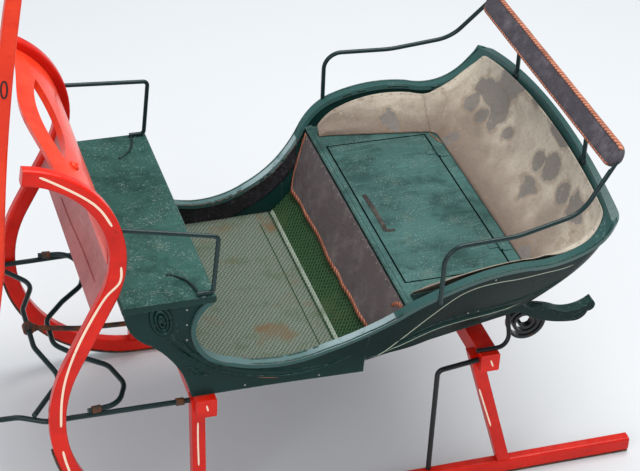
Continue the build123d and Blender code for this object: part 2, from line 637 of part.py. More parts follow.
def draft_iron():
    knee_front = BUNK_FRONT_X + KNEE_AHEAD_FRONT + KNEE_DEEP / 2
    by_runner = RUNNER_Y - lean_in(IRON_Z) - RUNNER_WIDE / 2 - IRON_R - 1
    points = [(knee_front - 1, IRON_Y, IRON_Z), (740, by_runner, IRON_Z), (820, by_runner, IRON_Z),
              (892, EYE_Y + 4, IRON_Z), (EYE_X - EYE_R / 2, EYE_Y, IRON_Z)]
    rod = bar(points, IRON_R, [200, 60, 60])
    eye_wide = SHAFT_WIDE - 2 * CHEEK_GAP
    eye = Pos(EYE_X, EYE_Y, IRON_Z) * Rot(90, 0, 0) * Cylinder(EYE_R, eye_wide)
    hole = Pos(EYE_X, EYE_Y, IRON_Z) * Rot(90, 0, 0) * Cylinder(PIN_R + PIN_GAP, eye_wide)
    return rod + eye - hole


nodes["draft_irons"] = pair(less(draft_iron(), nodes["knees_front"]))
for name, half, bend in (
    ("bow_front", FRONT_BOW, FRONT_BOW_BEND),
    ("bow_middle", MIDDLE_BOW, MIDDLE_BOW_BEND),
):
    points = [(x, -y, z) for x, y, z in reversed(half)] + list(half)
    nodes[name] = bar(points, IRON_R, bend)

# The centre bar rises over the middle bow, and its collar is closed round the front one.
collar_x, _, collar_z = FRONT_BOW[0]
centre = bar([(BUNK_FRONT_X + BUNK_DEEP / 4, 0, BAR_FOOT_Z), (BAR_BEND_X, 0, BAR_BEND_Z),
              (collar_x - COLLAR_R / 2, 0, collar_z)], IRON_R, 200)
centre += Pos(collar_x, 0, collar_z) * Rot(90, 0, 0) * Cylinder(COLLAR_R, COLLAR_LONG)
nodes["centre_bar"] = less(centre, nodes["bow_front"], nodes["bow_middle"], nodes["bunk_front"])

# Shafts on their pins, raised, with the crossbar between them.
lean = math.radians(SHAFT_LEAN)
shaft_up = Plane(origin=(EYE_X, 0, IRON_Z), x_dir=(math.cos(lean), 0, math.sin(lean)),
                 z_dir=(-math.sin(lean), 0, math.cos(lean)))


def shaft():
    faces = []
    for up, ahead, y, deep, wide in SHAFT_ROWS:
        faces.append(shaft_up * Pos(ahead, y, up) * RectangleRounded(deep, wide, 9))
    return loft(faces[:2]) + loft(faces[1:])


def shaft_cheeks():
    cheeks = []
    pin_y = SHAFT_WIDE / 2
    for y_from in (EYE_Y + pin_y, EYE_Y - pin_y - CHEEK_THICK):
        plate = Pos(0, y_from + CHEEK_THICK / 2, CHEEK_LONG / 2) * Box(2 * EYE_R - 4, CHEEK_THICK, CHEEK_LONG)
        plate += Pos(0, y_from + CHEEK_THICK / 2, 0) * Rot(90, 0, 0) * Cylinder(EYE_R - 2, CHEEK_THICK)
        cheeks.append(plate)
    pin = Pos(0, EYE_Y, 0) * Rot(90, 0, 0) * Cylinder(PIN_R, SHAFT_WIDE + 2 * CHEEK_THICK)
    return shaft_up * (cheeks[0] + cheeks[1] + pin)


both("shaft", shaft())
nodes["shaft_irons"] = pair(shaft_cheeks())
crossbar = Box(CROSSBAR_DEEP, 2 * (EYE_Y - SHAFT_WIDE / 2), CROSSBAR_HIGH)
nodes["shaft_crossbar"] = shaft_up * (Pos(0, 0, CROSSBAR_UP) * crossbar)

for name, piece in nodes.items():
    solids = piece.solids()
    export_step(solids[0] if len(solids) == 1 else Compound(children=list(solids)), f"parts/{name}.step")
print(len(nodes), "nodes")
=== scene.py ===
# %% [markdown]
# # Dressing a horse drawn sleigh
# The packed CAD model is the frame. It holds the true shapes of the wood and the iron, so this lesson
# leaves them alone and adds what CAD doesn't: paint, rust, cloth, leather, painted lines, carvings and
# small fasteners. Everything is in metres, +X forward, +Y to the sleigh's left and +Z up.

# %% Load the frame
import bpy
import math
from mathutils import Matrix, Vector, noise
from mathutils.bvhtree import BVHTree


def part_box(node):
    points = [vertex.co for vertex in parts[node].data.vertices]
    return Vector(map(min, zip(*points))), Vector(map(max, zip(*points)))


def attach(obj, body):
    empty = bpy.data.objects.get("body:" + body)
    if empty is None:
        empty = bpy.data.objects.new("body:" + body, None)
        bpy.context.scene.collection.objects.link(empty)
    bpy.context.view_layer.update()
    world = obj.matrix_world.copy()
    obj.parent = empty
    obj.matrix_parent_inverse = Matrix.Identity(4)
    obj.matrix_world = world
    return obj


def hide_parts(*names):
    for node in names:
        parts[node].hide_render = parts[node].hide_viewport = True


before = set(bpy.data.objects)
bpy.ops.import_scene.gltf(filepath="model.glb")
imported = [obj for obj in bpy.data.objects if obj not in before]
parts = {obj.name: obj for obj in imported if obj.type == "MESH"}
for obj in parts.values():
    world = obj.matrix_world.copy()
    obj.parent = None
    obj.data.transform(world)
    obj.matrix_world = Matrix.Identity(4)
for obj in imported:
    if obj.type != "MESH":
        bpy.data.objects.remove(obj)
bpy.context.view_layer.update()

# %% [markdown]
# ## The camera
# A long lens looks down on the sleigh's left front quarter. Its angles were worked out once from like
# points on the left and right sides. A direction and two turned axes make the matrix, which is easier to
# read than three Euler angles. The Standard view transform shows each colour as it was mixed.

# %% Camera
AIM = Vector((-0.105, 0, 0.68))
AWAY = 5.845
TURN, TILT, ROLL = math.radians(18.882), math.radians(34.418), math.radians(3.0)
PHOTO_WIDE, PHOTO_HIGH, LENS_PX = 640, 471, 1912.0
FILM_WIDE_MM = 36

look = Vector((-math.sin(TURN) * math.cos(TILT), -math.cos(TURN) * math.cos(TILT), -math.sin(TILT)))
level = Vector((-math.cos(TURN), math.sin(TURN), 0))
upward = level.cross(look)
right = level * math.cos(ROLL) + upward * math.sin(ROLL)
up = upward * math.cos(ROLL) - level * math.sin(ROLL)
eye = AIM - look * AWAY

lens = bpy.data.cameras.new("photo_lens")
lens.sensor_width = FILM_WIDE_MM
lens.lens = LENS_PX / PHOTO_WIDE * FILM_WIDE_MM
camera = bpy.data.objects.new("photo_camera", lens)
bpy.context.scene.collection.objects.link(camera)
camera.matrix_world = Matrix((
    (right.x, up.x, -look.x, eye.x),
    (right.y, up.y, -look.y, eye.y),
    (right.z, up.z, -look.z, eye.z),
    (0, 0, 0, 1),
))
bpy.context.scene.camera = camera
bpy.context.scene.view_settings.view_transform = "Standard"
print("camera at", [round(v, 3) for v in eye], "lens", round(lens.lens, 1), "mm")

# %% [markdown]
# ## Shader maths as Python
# A finish is a tree of nodes. Wiring each Math node by hand hides the idea, so one small class wraps a
# socket and gives it +, - and *. Any other node comes from its one method `add`. A Mix node has a pair of
# inputs for every kind of value, so the places of its colour sockets get names.

# %% The class for one value of a finish
X, Y, Z = 0, 1, 2
MIX_MASK, MIX_FIRST, MIX_SECOND, MIX_COLOUR = 0, 6, 7, 2


class Tone:
    """One socket of a finish's tree. Sums with it add their Math nodes."""

    def __init__(self, tree, socket=None):
        self.tree, self.socket = tree, socket

    def add(self, kind, inputs, out=0, **settings):
        """Adds a node: its settings first, then its inputs by name or number."""
        node = self.tree.nodes.new(kind)
        for name, value in settings.items():
            setattr(node, name, value)
        for key, value in inputs.items():
            if isinstance(value, Tone):
                self.tree.links.new(value.socket, node.inputs[key])
            else:
                node.inputs[key].default_value = value
        return Tone(self.tree, node.outputs[out])

    def maths(self, operation, *values):
        return self.add("ShaderNodeMath", dict(enumerate(values)), operation=operation)

    def __add__(self, other):
        return self.maths("ADD", self, other)

    def __sub__(self, other):
        return self.maths("SUBTRACT", self, other)

    def __rsub__(self, other):
        return self.maths("SUBTRACT", other, self)

    def __mul__(self, other):
        return self.maths("MULTIPLY", self, other)

    __radd__, __rmul__ = __add__, __mul__

    def most(self, other):
        """The greater of two values."""
        return self.maths("MAXIMUM", self, other)

    def step(self, low, high):
        """0 below low, 1 above high, and smooth between."""
        ends = {"Value": self, "From Min": low, "From Max": high}
        return self.add("ShaderNodeMapRange", ends, interpolation_type="SMOOTHSTEP")

    def blend(self, colour, other):
        """This value as a mask: 0 gives the first colour and 1 the other."""
        first, second = [c if isinstance(c, Tone) else (*c, 1) for c in (colour, other)]
        sockets = {MIX_MASK: self, MIX_FIRST: first, MIX_SECOND: second}
        return self.add("ShaderNodeMix", sockets, out=MIX_COLOUR, data_type="RGBA")

    def compare(self, operation, first, second):
        """A number from two vectors, such as their distance."""
        return self.add("ShaderNodeVectorMath", {0: first, 1: second}, out="Value", operation=operation)


print("a Tone can", [name for name in vars(Tone) if not name.startswith("__")])

# %% [markdown]
# ## Patterns that all the finishes share
# Each pattern is read in the object's own metres, so a grain or a drop has its real size on every piece.
# Dirt settles in low patches, drops of melt water stand on paint, and edges wear where a hand or a boot
# rubs. The edge mask compares the true normal with a rounded one, which is how a Bevel node finds edges.

# %% Patterns
class Finish:
    """A material: its maths, its patterns and its shader."""

    def __init__(self, name, **constants):
        self.material = bpy.data.materials.new(name)
        self.material.use_nodes = True
        self.tree = self.material.node_tree
        self.shader = self.tree.nodes["Principled BSDF"]
        for key, value in constants.items():
            self.shader.inputs[key.replace("_", " ")].default_value = value
        self.maths = Tone(self.tree)
        self.place = self.maths.add("ShaderNodeTexCoord", {}, out="Object")
        self.reliefs = []

    def stretched(self, x, y, z, turn=0.0):
        """The place, scaled along each axis, for grain, weave and streaks."""
        fit = {"Vector": self.place, "Rotation": (0, 0, turn), "Scale": (x, y, z)}
        return self.maths.add("ShaderNodeMapping", fit)

    def clouds(self, size, detail=4.0, rough=0.6, place=None):
        """Soft noise from 0 to 1, with spots of about this size in metres."""
        grain = {"Vector": place or self.place, "Scale": 1 / size, "Detail": detail, "Roughness": rough}
        return self.maths.add("ShaderNodeTexNoise", grain)

    def cells(self, size, out="Distance", feature="F1"):
        """Cells like those of cracked mud, of about this size in metres."""
        spread = {"Vector": self.place, "Scale": 1 / size}
        return self.maths.add("ShaderNodeTexVoronoi", spread, out=out, feature=feature)

    def facing(self, axis):
        """How far the surface faces along an axis, from -1 to 1."""
        normal = self.maths.add("ShaderNodeNewGeometry", {}, out="Normal")
        return self.maths.add("ShaderNodeSeparateXYZ", {"Vector": normal}, out=axis)

    def along(self, axis):
        """The place's own number along one axis."""
        return self.maths.add("ShaderNodeSeparateXYZ", {"Vector": self.place}, out=axis)

    def drops(self, size, share):
        """Beads of water: round caps on a share of the cells."""
        near = self.cells(size)
        lucky = self.maths.add("ShaderNodeSeparateColor", {"Color": self.cells(size, out="Color")})
        return (1 - near.step(0.10, 0.34)) * lucky.step(1 - share, 1 - share + 0.02)

    def worn_edges(self, radius, spread=0.012):
        """Where the surface bends sharply, broken up by noise."""
        soft = self.maths.add("ShaderNodeBevel", {"Radius": radius}, samples=4)
        hard = self.maths.add("ShaderNodeNewGeometry", {}, out="Normal")
        same = self.maths.compare("DOT_PRODUCT", soft, hard)
        return (1 - same).step(0.02, 0.25) * self.clouds(spread).step(0.42, 0.62)

    def raise_by(self, height, metres):
        """Adds a relief of this many metres to the bump."""
        self.reliefs.append((height, metres))

    def finish(self, colour, rough, coat=None, metal=None):
        """Links what varies and returns the material."""
        wires = {"Base Color": colour, "Roughness": rough, "Coat Weight": coat, "Metallic": metal}
        for name, value in wires.items():
            if isinstance(value, Tone):
                self.tree.links.new(value.socket, self.shader.inputs[name])
            elif value is not None:
                self.shader.inputs[name].default_value = (*value, 1) if name == "Base Color" else value
        normal = None
        for height, metres in self.reliefs:
            links = {"Height": height, "Distance": metres}
            if normal:
                links["Normal"] = normal
            normal = self.maths.add("ShaderNodeBump", links)
        if normal:
            self.tree.links.new(normal.socket, self.shader.inputs["Normal"])
        print(f"{self.material.name}: {len(self.tree.nodes)} nodes")
        return self.material


print("patterns ready")

# %% [markdown]
# ## Red paint
# Coach paint is brushed on in many coats and varnished, so it is a bright colour under a clear coat. It is
# darker where dirt lies, chalky on faces that look up, and chipped to brown wood along its edges. A clear
# coat on the shader gives the sharp reflection over the softer paint.

# %% Red paint
CHALK, GRIME, CHIPPED_WOOD = (0.80, 0.24, 0.16), (0.10, 0.015, 0.008), (0.055, 0.024, 0.014)


def red_paint(name, colour, deep, chips=1.0, shine=0.55):
    f = Finish(name, Coat_Roughness=0.14, Coat_IOR=1.35, Specular_IOR_Level=0.18)
    patches = f.clouds(0.16)
    brushed = f.clouds(0.03, place=f.stretched(0.25, 1, 1))
    body = (patches * 0.7 + brushed * 0.3).step(0.35, 0.7).blend(deep, colour)
    chalk = f.facing(Z).step(0.45, 1.0) * f.clouds(0.05).step(0.4, 0.75) * 0.10
    body = chalk.blend(body, CHALK)
    grime = f.clouds(0.045, detail=6.0).step(0.60, 0.80) * 0.35
    body = grime.blend(body, GRIME)
    chipped = f.worn_edges(0.004) * chips
    body = chipped.blend(body, CHIPPED_WOOD)
    beads = f.drops(0.0075, 0.30)
    f.raise_by(f.clouds(0.02) * 0.5 + brushed * 0.5, 0.0007)
    f.raise_by(beads, 0.0011)
    rough = 0.32 + patches * 0.12 + chipped * 0.4 + grime * 0.2 - beads * 0.2
    coat = (shine - chipped * shine - grime * 0.5) * f.facing(Z).step(-0.45, 0.15)
    return f.finish(body, rough, coat)


paint_red = red_paint("gloss_red_paint", (0.68, 0.012, 0.002), (0.50, 0.006, 0.001), shine=0.44)
dash_red = red_paint("gloss_orange_red_paint", (0.84, 0.050, 0.012), (0.68, 0.028, 0.007), 0.7, 0.40)
# The board paint's pinkish red is the dark red with a painted reflection of the sky on it.
panel_red_and_sheen = red_paint("dark_red_board_paint_and_sky_sheen", (0.460, 0.165, 0.160), (0.330, 0.100, 0.098), 0.5, 0.12)

# %% [markdown]
# ## Green paint
# The body is nearly black-green on its sides and greyer on top, where the paler top colour is a painted
# reflection of the sky on wet, weathered paint. The top faces get that paler colour by their normal, and
# faces that look down get a painted shade of near black. Fine scratches run with the grain, light specks
# on the tops are painted highlights of tiny water drops, and the beads of water are the same pattern as on
# the red.

# %% Green paint
PALE_DUST, PAINTED_DROP_GLINT, RUBBED_GREEN = (0.13, 0.15, 0.12), (0.30, 0.38, 0.37), (0.16, 0.20, 0.17)


def shade(colour, share):
    """The same hue, darker below a share of 1 and paler above it."""
    return tuple(c * share for c in colour)


def green_paint(name, side, top, wet=0.45):
    f = Finish(name, Coat_Roughness=0.18, Coat_IOR=1.38, Specular_IOR_Level=0.08)
    patches = f.clouds(0.20, detail=6.0)
    looks_up = f.facing(Z).step(0.35, 0.95)
    looks_level = f.facing(Z).step(-0.40, 0.30)
    # Painted reflection: faces that look up take the paler top colour, the sky's sheen on the wet paint.
    body = looks_up.blend(side, top)
    # Painted shade: faces that look down are darkened towards a near black green.
    under = (1 - f.facing(Z).step(-0.30, 0.02)) * 0.55
    body = under.blend(body, shade(side, 0.2))
    body = (patches.step(0.35, 0.70) * 0.55).blend(body, shade(side, 0.55))
    scratched = f.clouds(0.010, detail=5.0, place=f.stretched(0.12, 1, 1))
    streaks = scratched.step(0.54, 0.70) * 0.30 * looks_up
    body = streaks.blend(body, shade(top, 1.9))
    dust = f.clouds(0.07, detail=7.0).step(0.56, 0.74) * 0.30 * looks_up
    body = dust.blend(body, PALE_DUST)
    # Painted highlights: light specks on the faces that look up stand for glints of tiny water drops.
    specks = f.clouds(0.0055, detail=4.0).step(0.57, 0.64) * f.clouds(0.07).step(0.35, 0.6)
    body = (specks * 0.42 * looks_up).blend(body, PAINTED_DROP_GLINT)
    damp = f.clouds(0.10, detail=5.0, rough=0.7).step(0.50, 0.68) * 0.45 * looks_up
    body = damp.blend(body, shade(side, 0.8))
    rubbed = f.worn_edges(0.005) * 0.4
    body = rubbed.blend(body, RUBBED_GREEN)
    beads = f.drops(0.008, wet)
    f.raise_by(f.clouds(0.012) * 0.6 + streaks, 0.0008)
    f.raise_by(beads, 0.0013)
    rough = 0.34 + patches * 0.14 + dust * 0.5 + rubbed * 0.25 - beads * 0.24
    return f.finish(body, rough, coat=(0.42 - dust - rubbed * 0.3 + beads * 0.5) * looks_level)


# Each green: its side colour, then a paler top colour that holds a painted reflection of the sky.
paint_green = green_paint("dark_green_paint", (0.005, 0.028, 0.024), (0.022, 0.074, 0.062))
bench_green = green_paint("bench_green_paint", (0.008, 0.036, 0.030), (0.028, 0.088, 0.072), wet=0.6)
deck_green = green_paint("deck_green_paint", (0.010, 0.040, 0.035), (0.046, 0.112, 0.101), wet=0.6)
# The bearers' green is a darker copy of the body's green: painted shade under the body.
shaded_bearer_green = green_paint("bearer_paint_in_painted_shade", (0.005, 0.020, 0.017), (0.018, 0.055, 0.048))

# %% [markdown]
# ## The rims
# The rounded rims take the wear of every climb in and out, so at the entry the green has gone a milky
# grey, with brown wood at the inner edge. The milky grey lies only on faces that look up, so it is partly
# that wear and partly a painted reflection of the sky. Noise mixes the two colours, and the worn share
# differs between the entry and the tub. The wear fades towards the front, where nobody steps.

# %% Rims
RIM_GREEN, MILKY_GREEN_AND_SKY_SHEEN, RIM_WOOD = (0.026, 0.080, 0.074), (0.240, 0.320, 0.330), (0.115, 0.060, 0.034)


def rim_paint(name, milky):
    f = Finish(name, Coat_Roughness=0.2, Coat_IOR=1.35, Specular_IOR_Level=0.22)
    patches = f.clouds(0.09, detail=6.0) * 0.6 + f.clouds(0.013, detail=5.0) * 0.4
    worn = patches.step(0.62 - milky * 0.42, 0.78 - milky * 0.32)
    looks_up = f.facing(Z).step(0.05, 0.75)
    at_the_step = 1 - f.along(X).step(-0.06, 0.10) * 0.75
    # The milky grey is partly wear and partly a painted reflection of the sky on faces that look up.
    body = (worn * looks_up * at_the_step).blend(RIM_GREEN, MILKY_GREEN_AND_SKY_SHEEN)
    bare = f.worn_edges(0.006, 0.020)
    body = (bare * (0.35 + milky * 0.4)).blend(body, RIM_WOOD)
    beads = f.drops(0.0085, 0.4)
    f.raise_by(worn * 0.5 + f.clouds(0.006) * 0.5, 0.0006)
    f.raise_by(beads, 0.0011)
    return f.finish(body, 0.33 + worn * 0.16 + bare * 0.25 - beads * 0.2, coat=0.4 - worn * 0.2)


entry_rim = rim_paint("worn_entry_rim", 0.85)
tub_rim = rim_paint("tub_rim_paint", 0.10)

# %% [markdown]
# ## Iron
# The rods are painted green-black and show rust where the paint has gone. The runner shoes and the centre
# bar are bare. Rust is not metal, so the metallic value drops where the rust mask rises.

# %% Iron
DEEP_RUST, BRIGHT_RUST = (0.050, 0.018, 0.009), (0.230, 0.082, 0.030)


def iron(name, paint, rust_from, shine=0.32):
    f = Finish(name, Coat_Roughness=0.25, Coat_IOR=1.35, Specular_IOR_Level=0.25)
    rust = f.clouds(0.035, detail=7.0, rough=0.7).step(rust_from, rust_from + 0.12)
    fine = f.clouds(0.004, detail=5.0)
    rusty = fine.blend(DEEP_RUST, BRIGHT_RUST)
    painted = f.clouds(0.05).blend(shade(paint, 0.6), shade(paint, 1.35))
    body = rust.blend(painted, rusty)
    f.raise_by(fine * (0.4 + rust), 0.0010)
    f.raise_by(f.clouds(0.018), 0.0008)
    f.raise_by(f.drops(0.007, 0.25), 0.0010)
    return f.finish(body, shine + rust * 0.42, coat=0.3 - rust * 0.3, metal=0.1 - rust * 0.1)


rod_green = iron("green_black_rod_paint", (0.010, 0.027, 0.027), 0.66)
iron_black = iron("black_iron", (0.013, 0.013, 0.014), 0.62)
iron_bare = iron("rusty_bare_iron", (0.040, 0.036, 0.034), 0.44, 0.42)

# %% [markdown]
# ## Leather and braid
# Old leather is crazed by fine cells and polished on its high spots. The braid that trims it is a row of
# slanting stitches in faded wool, and a diagonal wave gives both their colour and their relief.

# %% Leather
BROWN_DUST, FROST = (0.14, 0.10, 0.08), (0.22, 0.20, 0.21)


def leather(name, dark, light, scale=0.0045):
    f = Finish(name, Specular_IOR_Level=0.28, Sheen_Weight=0.03, Sheen_Roughness=0.4)
    crazed = f.cells(scale, feature="DISTANCE_TO_EDGE").step(0.0, 0.14)
    rubbed = f.clouds(0.06, detail=6.0).step(0.45, 0.75)
    body = rubbed.blend(dark, light)
    body = ((1 - crazed) * 0.55).blend(body, shade(dark, 0.45))
    dust = f.clouds(0.015, detail=6.0).step(0.58, 0.74) * 0.45
    body = dust.blend(body, BROWN_DUST)
    frost = f.clouds(0.0045, detail=4.0).step(0.62, 0.68) * 0.5
    body = frost.blend(body, FROST)
    beads = f.drops(0.008, 0.30)
    f.raise_by(crazed, 0.0005)
    f.raise_by(f.clouds(0.03), 0.0030)
    f.raise_by(beads, 0.0011)
    return f.finish(body, 0.40 + rubbed * 0.10 + dust * 0.6 - beads * 0.22)


fall_leather = leather("fall_leather", (0.112, 0.090, 0.092), (0.175, 0.146, 0.142))
bolster_leather = leather("bolster_leather", (0.058, 0.050, 0.062), (0.130, 0.115, 0.132))
strap_leather = leather("strap_leather", (0.028, 0.024, 0.020), (0.085, 0.074, 0.062), 0.006)
wall_leather = leather("wall_lining_leather", (0.010, 0.009, 0.012), (0.026, 0.023, 0.030))

# %% Braid
def braid(name, colour, deep):
    f = Finish(name, Specular_IOR_Level=0.15)
    stitch = {"Vector": f.place, "Scale": 40.0, "Distortion": 1.5, "Detail": 2.0}
    twist = f.maths.add("ShaderNodeTexWave", stitch, out="Fac", bands_direction="DIAGONAL")
    faded = f.clouds(0.05, detail=5.0).step(0.3, 0.7)
    body = faded.blend(deep, colour)
    body = ((1 - twist.step(0.15, 0.6)) * 0.75).blend(body, shade(deep, 0.3))
    f.raise_by(twist, 0.0020)
    return f.finish(body, 0.62 + faded * 0.15)


salmon_braid = braid("salmon_braid", (0.52, 0.205, 0.125), (0.30, 0.105, 0.060))

# %% [markdown]
# ## Oilcloth
# The lining is a pale coated cloth. Water has left grey patches with a brown tide line round them, the
# coat has flaked and streaked, and it is browner lower down and darkest just above the seat. The largest
# stains stand where the photo shows them, as balls of a few centimetres with a ragged edge, and noise makes
# the rest.

# %% Oilcloth
STAINS = (
    ((-0.739, -0.387, 0.842), 0.036), ((-0.783, -0.259, 0.910), 0.036), ((-0.761, -0.135, 0.872), 0.024),
    ((-0.776, 0.077, 0.896), 0.034), ((-0.786, 0.149, 0.917), 0.044), ((-0.777, 0.265, 0.899), 0.036),
    ((-0.730, -0.300, 0.850), 0.030), ((-0.504, 0.483, 0.830), 0.020),
)
CLOTH_BROWN, CLOTH_CREAM, SEAT_DARK_BROWN = (0.225, 0.180, 0.142), (0.500, 0.440, 0.355), (0.095, 0.062, 0.046)
TIDE_LINE, WET_GREY, FLAKED = (0.190, 0.125, 0.075), (0.150, 0.137, 0.128), (0.600, 0.520, 0.370)
STREAKED, CRACKED = (0.235, 0.170, 0.115), (0.10, 0.07, 0.05)


def oilcloth():
    f = Finish("stained_oilcloth", Specular_IOR_Level=0.25)
    broad = f.clouds(0.17, detail=3.0, rough=0.5)
    # The cloth is browner lower down, and darker and browner still in the last few centimetres above the
    # seat.
    climb = (f.along(Z) - 0.75).step(0.0, 0.22)
    body = (broad * 0.65 + climb * 0.35).step(0.30, 0.66).blend(CLOTH_BROWN, CLOTH_CREAM)
    at_the_seat = 1 - (f.along(Z) - 0.748).step(0.0, 0.05)
    body = (at_the_seat * 0.6).blend(body, SEAT_DARK_BROWN)
    tide = f.clouds(0.15, detail=4.0, rough=0.42, place=f.stretched(1, 0.8, 1.1))
    ragged = f.clouds(0.045, detail=6.0) * 0.045
    wet = tide.step(0.605, 0.625)
    line = tide.step(0.575, 0.597) * (1 - wet)
    for middle, radius in STAINS:
        far = f.maths.compare("DISTANCE", f.place, middle) + ragged - 0.022
        inside = 1 - far.step(radius - 0.003, radius + 0.004)
        wet = wet.most(inside)
        line = line.most((1 - far.step(radius + 0.004, radius + 0.016)) - inside)
    body = (line * 0.35).blend(body, TIDE_LINE)
    body = (wet * 0.80).blend(body, WET_GREY)
    flaked = f.clouds(0.030, detail=7.0, rough=0.75).step(0.60, 0.68) * f.clouds(0.14).step(0.46, 0.62)
    body = (flaked * 0.75).blend(body, FLAKED)
    streaked = f.clouds(0.020, detail=7.0, rough=0.7, place=f.stretched(1, 1, 0.4)).step(0.52, 0.72)
    body = (streaked * 0.50).blend(body, STREAKED)
    crackle = f.cells(0.016, feature="DISTANCE_TO_EDGE").step(0.0, 0.05)
    body = ((1 - crackle) * 0.22).blend(body, CRACKED)
    f.raise_by(f.clouds(0.05), 0.0040)
    f.raise_by(crackle * 0.5 + f.clouds(0.003) * 0.5, 0.0006)
    return f.finish(body, 0.62 - wet * 0.22)


stained_oilcloth = oilcloth()

# %% [markdown]
# ## Mat
# The floor mat is woven with ribs that slant both ways, worn flat and brown in its middle and mossy where
# it stays wet. Two waves turned against each other make the weave, with the second one weaker, so that
# one slant leads. The riser's cloth and the mat's nosing are the same weave in other colours.

# %% Mat
WORN_BROWN, MOSS, RIB_SLANT = (0.135, 0.085, 0.045), (0.055, 0.085, 0.038), 38


def ribs(f, degrees):
    """One set of slanting ribs, from 0 in the grooves to 1 on top."""
    slant = f.stretched(1, 1, 1, math.radians(degrees))
    weave = {"Vector": slant, "Scale": 30.0, "Distortion": 2.2, "Detail": 3.0, "Detail Scale": 2.0}
    return f.maths.add("ShaderNodeTexWave", weave, out="Fac")


def mat_cloth(name, light, dark, worn_share):
    f = Finish(name, Specular_IOR_Level=0.10)
    knit = ribs(f, RIB_SLANT).most(ribs(f, -RIB_SLANT) * 0.7)
    body = knit.step(0.25, 0.85).blend(dark, light)
    worn = f.clouds(0.13, detail=6.0).step(0.52, 0.72) * worn_share
    body = worn.blend(body, WORN_BROWN)
    moss = f.clouds(0.10, detail=5.0).step(0.50, 0.70) * 0.45
    body = moss.blend(body, MOSS)
    specks = f.clouds(0.006, detail=3.0).step(0.62, 0.70) * 0.5
    body = specks.blend(body, shade(light, 1.5))
    f.raise_by(knit, 0.0018)
    return f.finish(body, 0.72 + worn * 0.1)


mat_green = mat_cloth("footwell_mat", (0.148, 0.178, 0.142), (0.064, 0.084, 0.060), 0.95)
riser_green = mat_cloth("riser_cloth", (0.036, 0.084, 0.036), (0.007, 0.023, 0.008), 0.12)
worn_nosing = mat_cloth("worn_nosing", (0.300, 0.350, 0.285), (0.170, 0.215, 0.165), 0.2)

# %% [markdown]
# ## Line paint and small metal
# The painted lines are cream on red and a duller cream on green. They are thin raised strips, because a
# coach painter's line really stands on the varnish. Nail heads and screws are dull steel.

# %% Line paint and small metal
def line_paint(name, colour):
    f = Finish(name, Coat_Weight=0.5, Coat_Roughness=0.15)
    lost = f.clouds(0.012, detail=5.0).step(0.62, 0.75)
    body = (lost * 0.6).blend(colour, shade(colour, 0.4))
    f.raise_by(f.clouds(0.006), 0.0003)
    return f.finish(body, 0.34 + lost * 0.25)


cream_line = line_paint("cream_line", (0.86, 0.64, 0.47))
green_line = line_paint("line_on_green", (0.36, 0.40, 0.30))
nail_metal = iron("dull_nail_heads", (0.30, 0.29, 0.26), 0.60, 0.45)
water_dirt = line_paint("dirt_line", (0.060, 0.038, 0.026))
bare_wood = line_paint("bare_wood", (0.330, 0.110, 0.050))
rust_crumbs = line_paint("rust_brown_dirt", (0.150, 0.065, 0.030))
print(len(bpy.data.materials), "materials")

# %% [markdown]
# ## Which finish each CAD node gets
# One table says which pieces share a paint, as a shop's paint list would. A CAD node keeps its mesh and
# only its material slots change.

# %% Paint the nodes
FINISHES = (
    (paint_red, ("runner_left", "runner_right", "bunk_front", "bunk_rear", "knees_front", "knees_rear")),
    (dash_red, ("dash_board", "shaft_left", "shaft_right", "shaft_crossbar")),
    (panel_red_and_sheen, ("dash_panel",)),
    (paint_green, ("footwell_side_left", "footwell_side_right", "tub_side_left", "tub_side_right", "tub_back",
                   "toe_board", "floor_board", "tub_floor")),
    (bench_green, ("driver_seat",)),
    (deck_green, ("seat_deck", "seat_lid", "seat_rail", "lid_hinges")),
    (shaded_bearer_green, ("bearers",)),
    (riser_green, ("seat_riser",)),
    (entry_rim, ("entry_rims",)),
    (tub_rim, ("tub_rims", "back_rim")),
    (rod_green, ("front_rails", "arm_rails", "bolster_posts", "draft_irons", "bow_front", "bow_middle")),
    (iron_black, ("scrolls", "cee_irons", "stays", "shaft_irons")),
    (iron_bare, ("shoes", "centre_bar")),
    (fall_leather, ("seat_fall",)),
    (bolster_leather, ("bolster",)),
    (stained_oilcloth, ("back_lining", "side_linings")),
    (mat_green, ("floor_mat",)),
)
for material, names in FINISHES:
    for name in names:
        for slot in parts[name].material_slots:
            slot.material = material
print("painted", sum(len(names) for _, names in FINISHES), "nodes")

# %% [markdown]
# ## Floor and light
# A plain pale floor, two large soft lamps and a pale sky all round, as on an overcast day. The
# sky is weaker in reflections, or it would wash out the dark varnish.

# %% Floor
FLOOR_RADIUS, FLOOR_DROP, FLOOR_GREY = 30, 0.0005, (0.60, 0.61, 0.62)
bpy.ops.mesh.primitive_circle_add(vertices=96, radius=FLOOR_RADIUS, fill_type="NGON",
                                  location=(0, 0, -FLOOR_DROP))
floor = bpy.context.object
floor.name = "studio_floor"
ground = Finish("pale_floor", Specular_IOR_Level=0.1)
floor.data.materials.append(ground.finish(FLOOR_GREY, 0.9))

# %% Sky and lamps
SKY, SKY_IN_VARNISH, SKY_COLOUR = 0.88, 0.22, (0.90, 0.95, 1.0, 1)
LIT_MIDDLE = Vector((0, 0, 0.6))
world = bpy.data.worlds.new("overcast")
bpy.context.scene.world = world
world.use_nodes = True
mirrored = Tone(world.node_tree).add("ShaderNodeLightPath", {}, out="Is Glossy Ray")
background = world.node_tree.nodes["Background"]
background.inputs["Color"].default_value = SKY_COLOUR
world.node_tree.links.new((SKY - mirrored * (SKY - SKY_IN_VARNISH)).socket, background.inputs["Strength"])


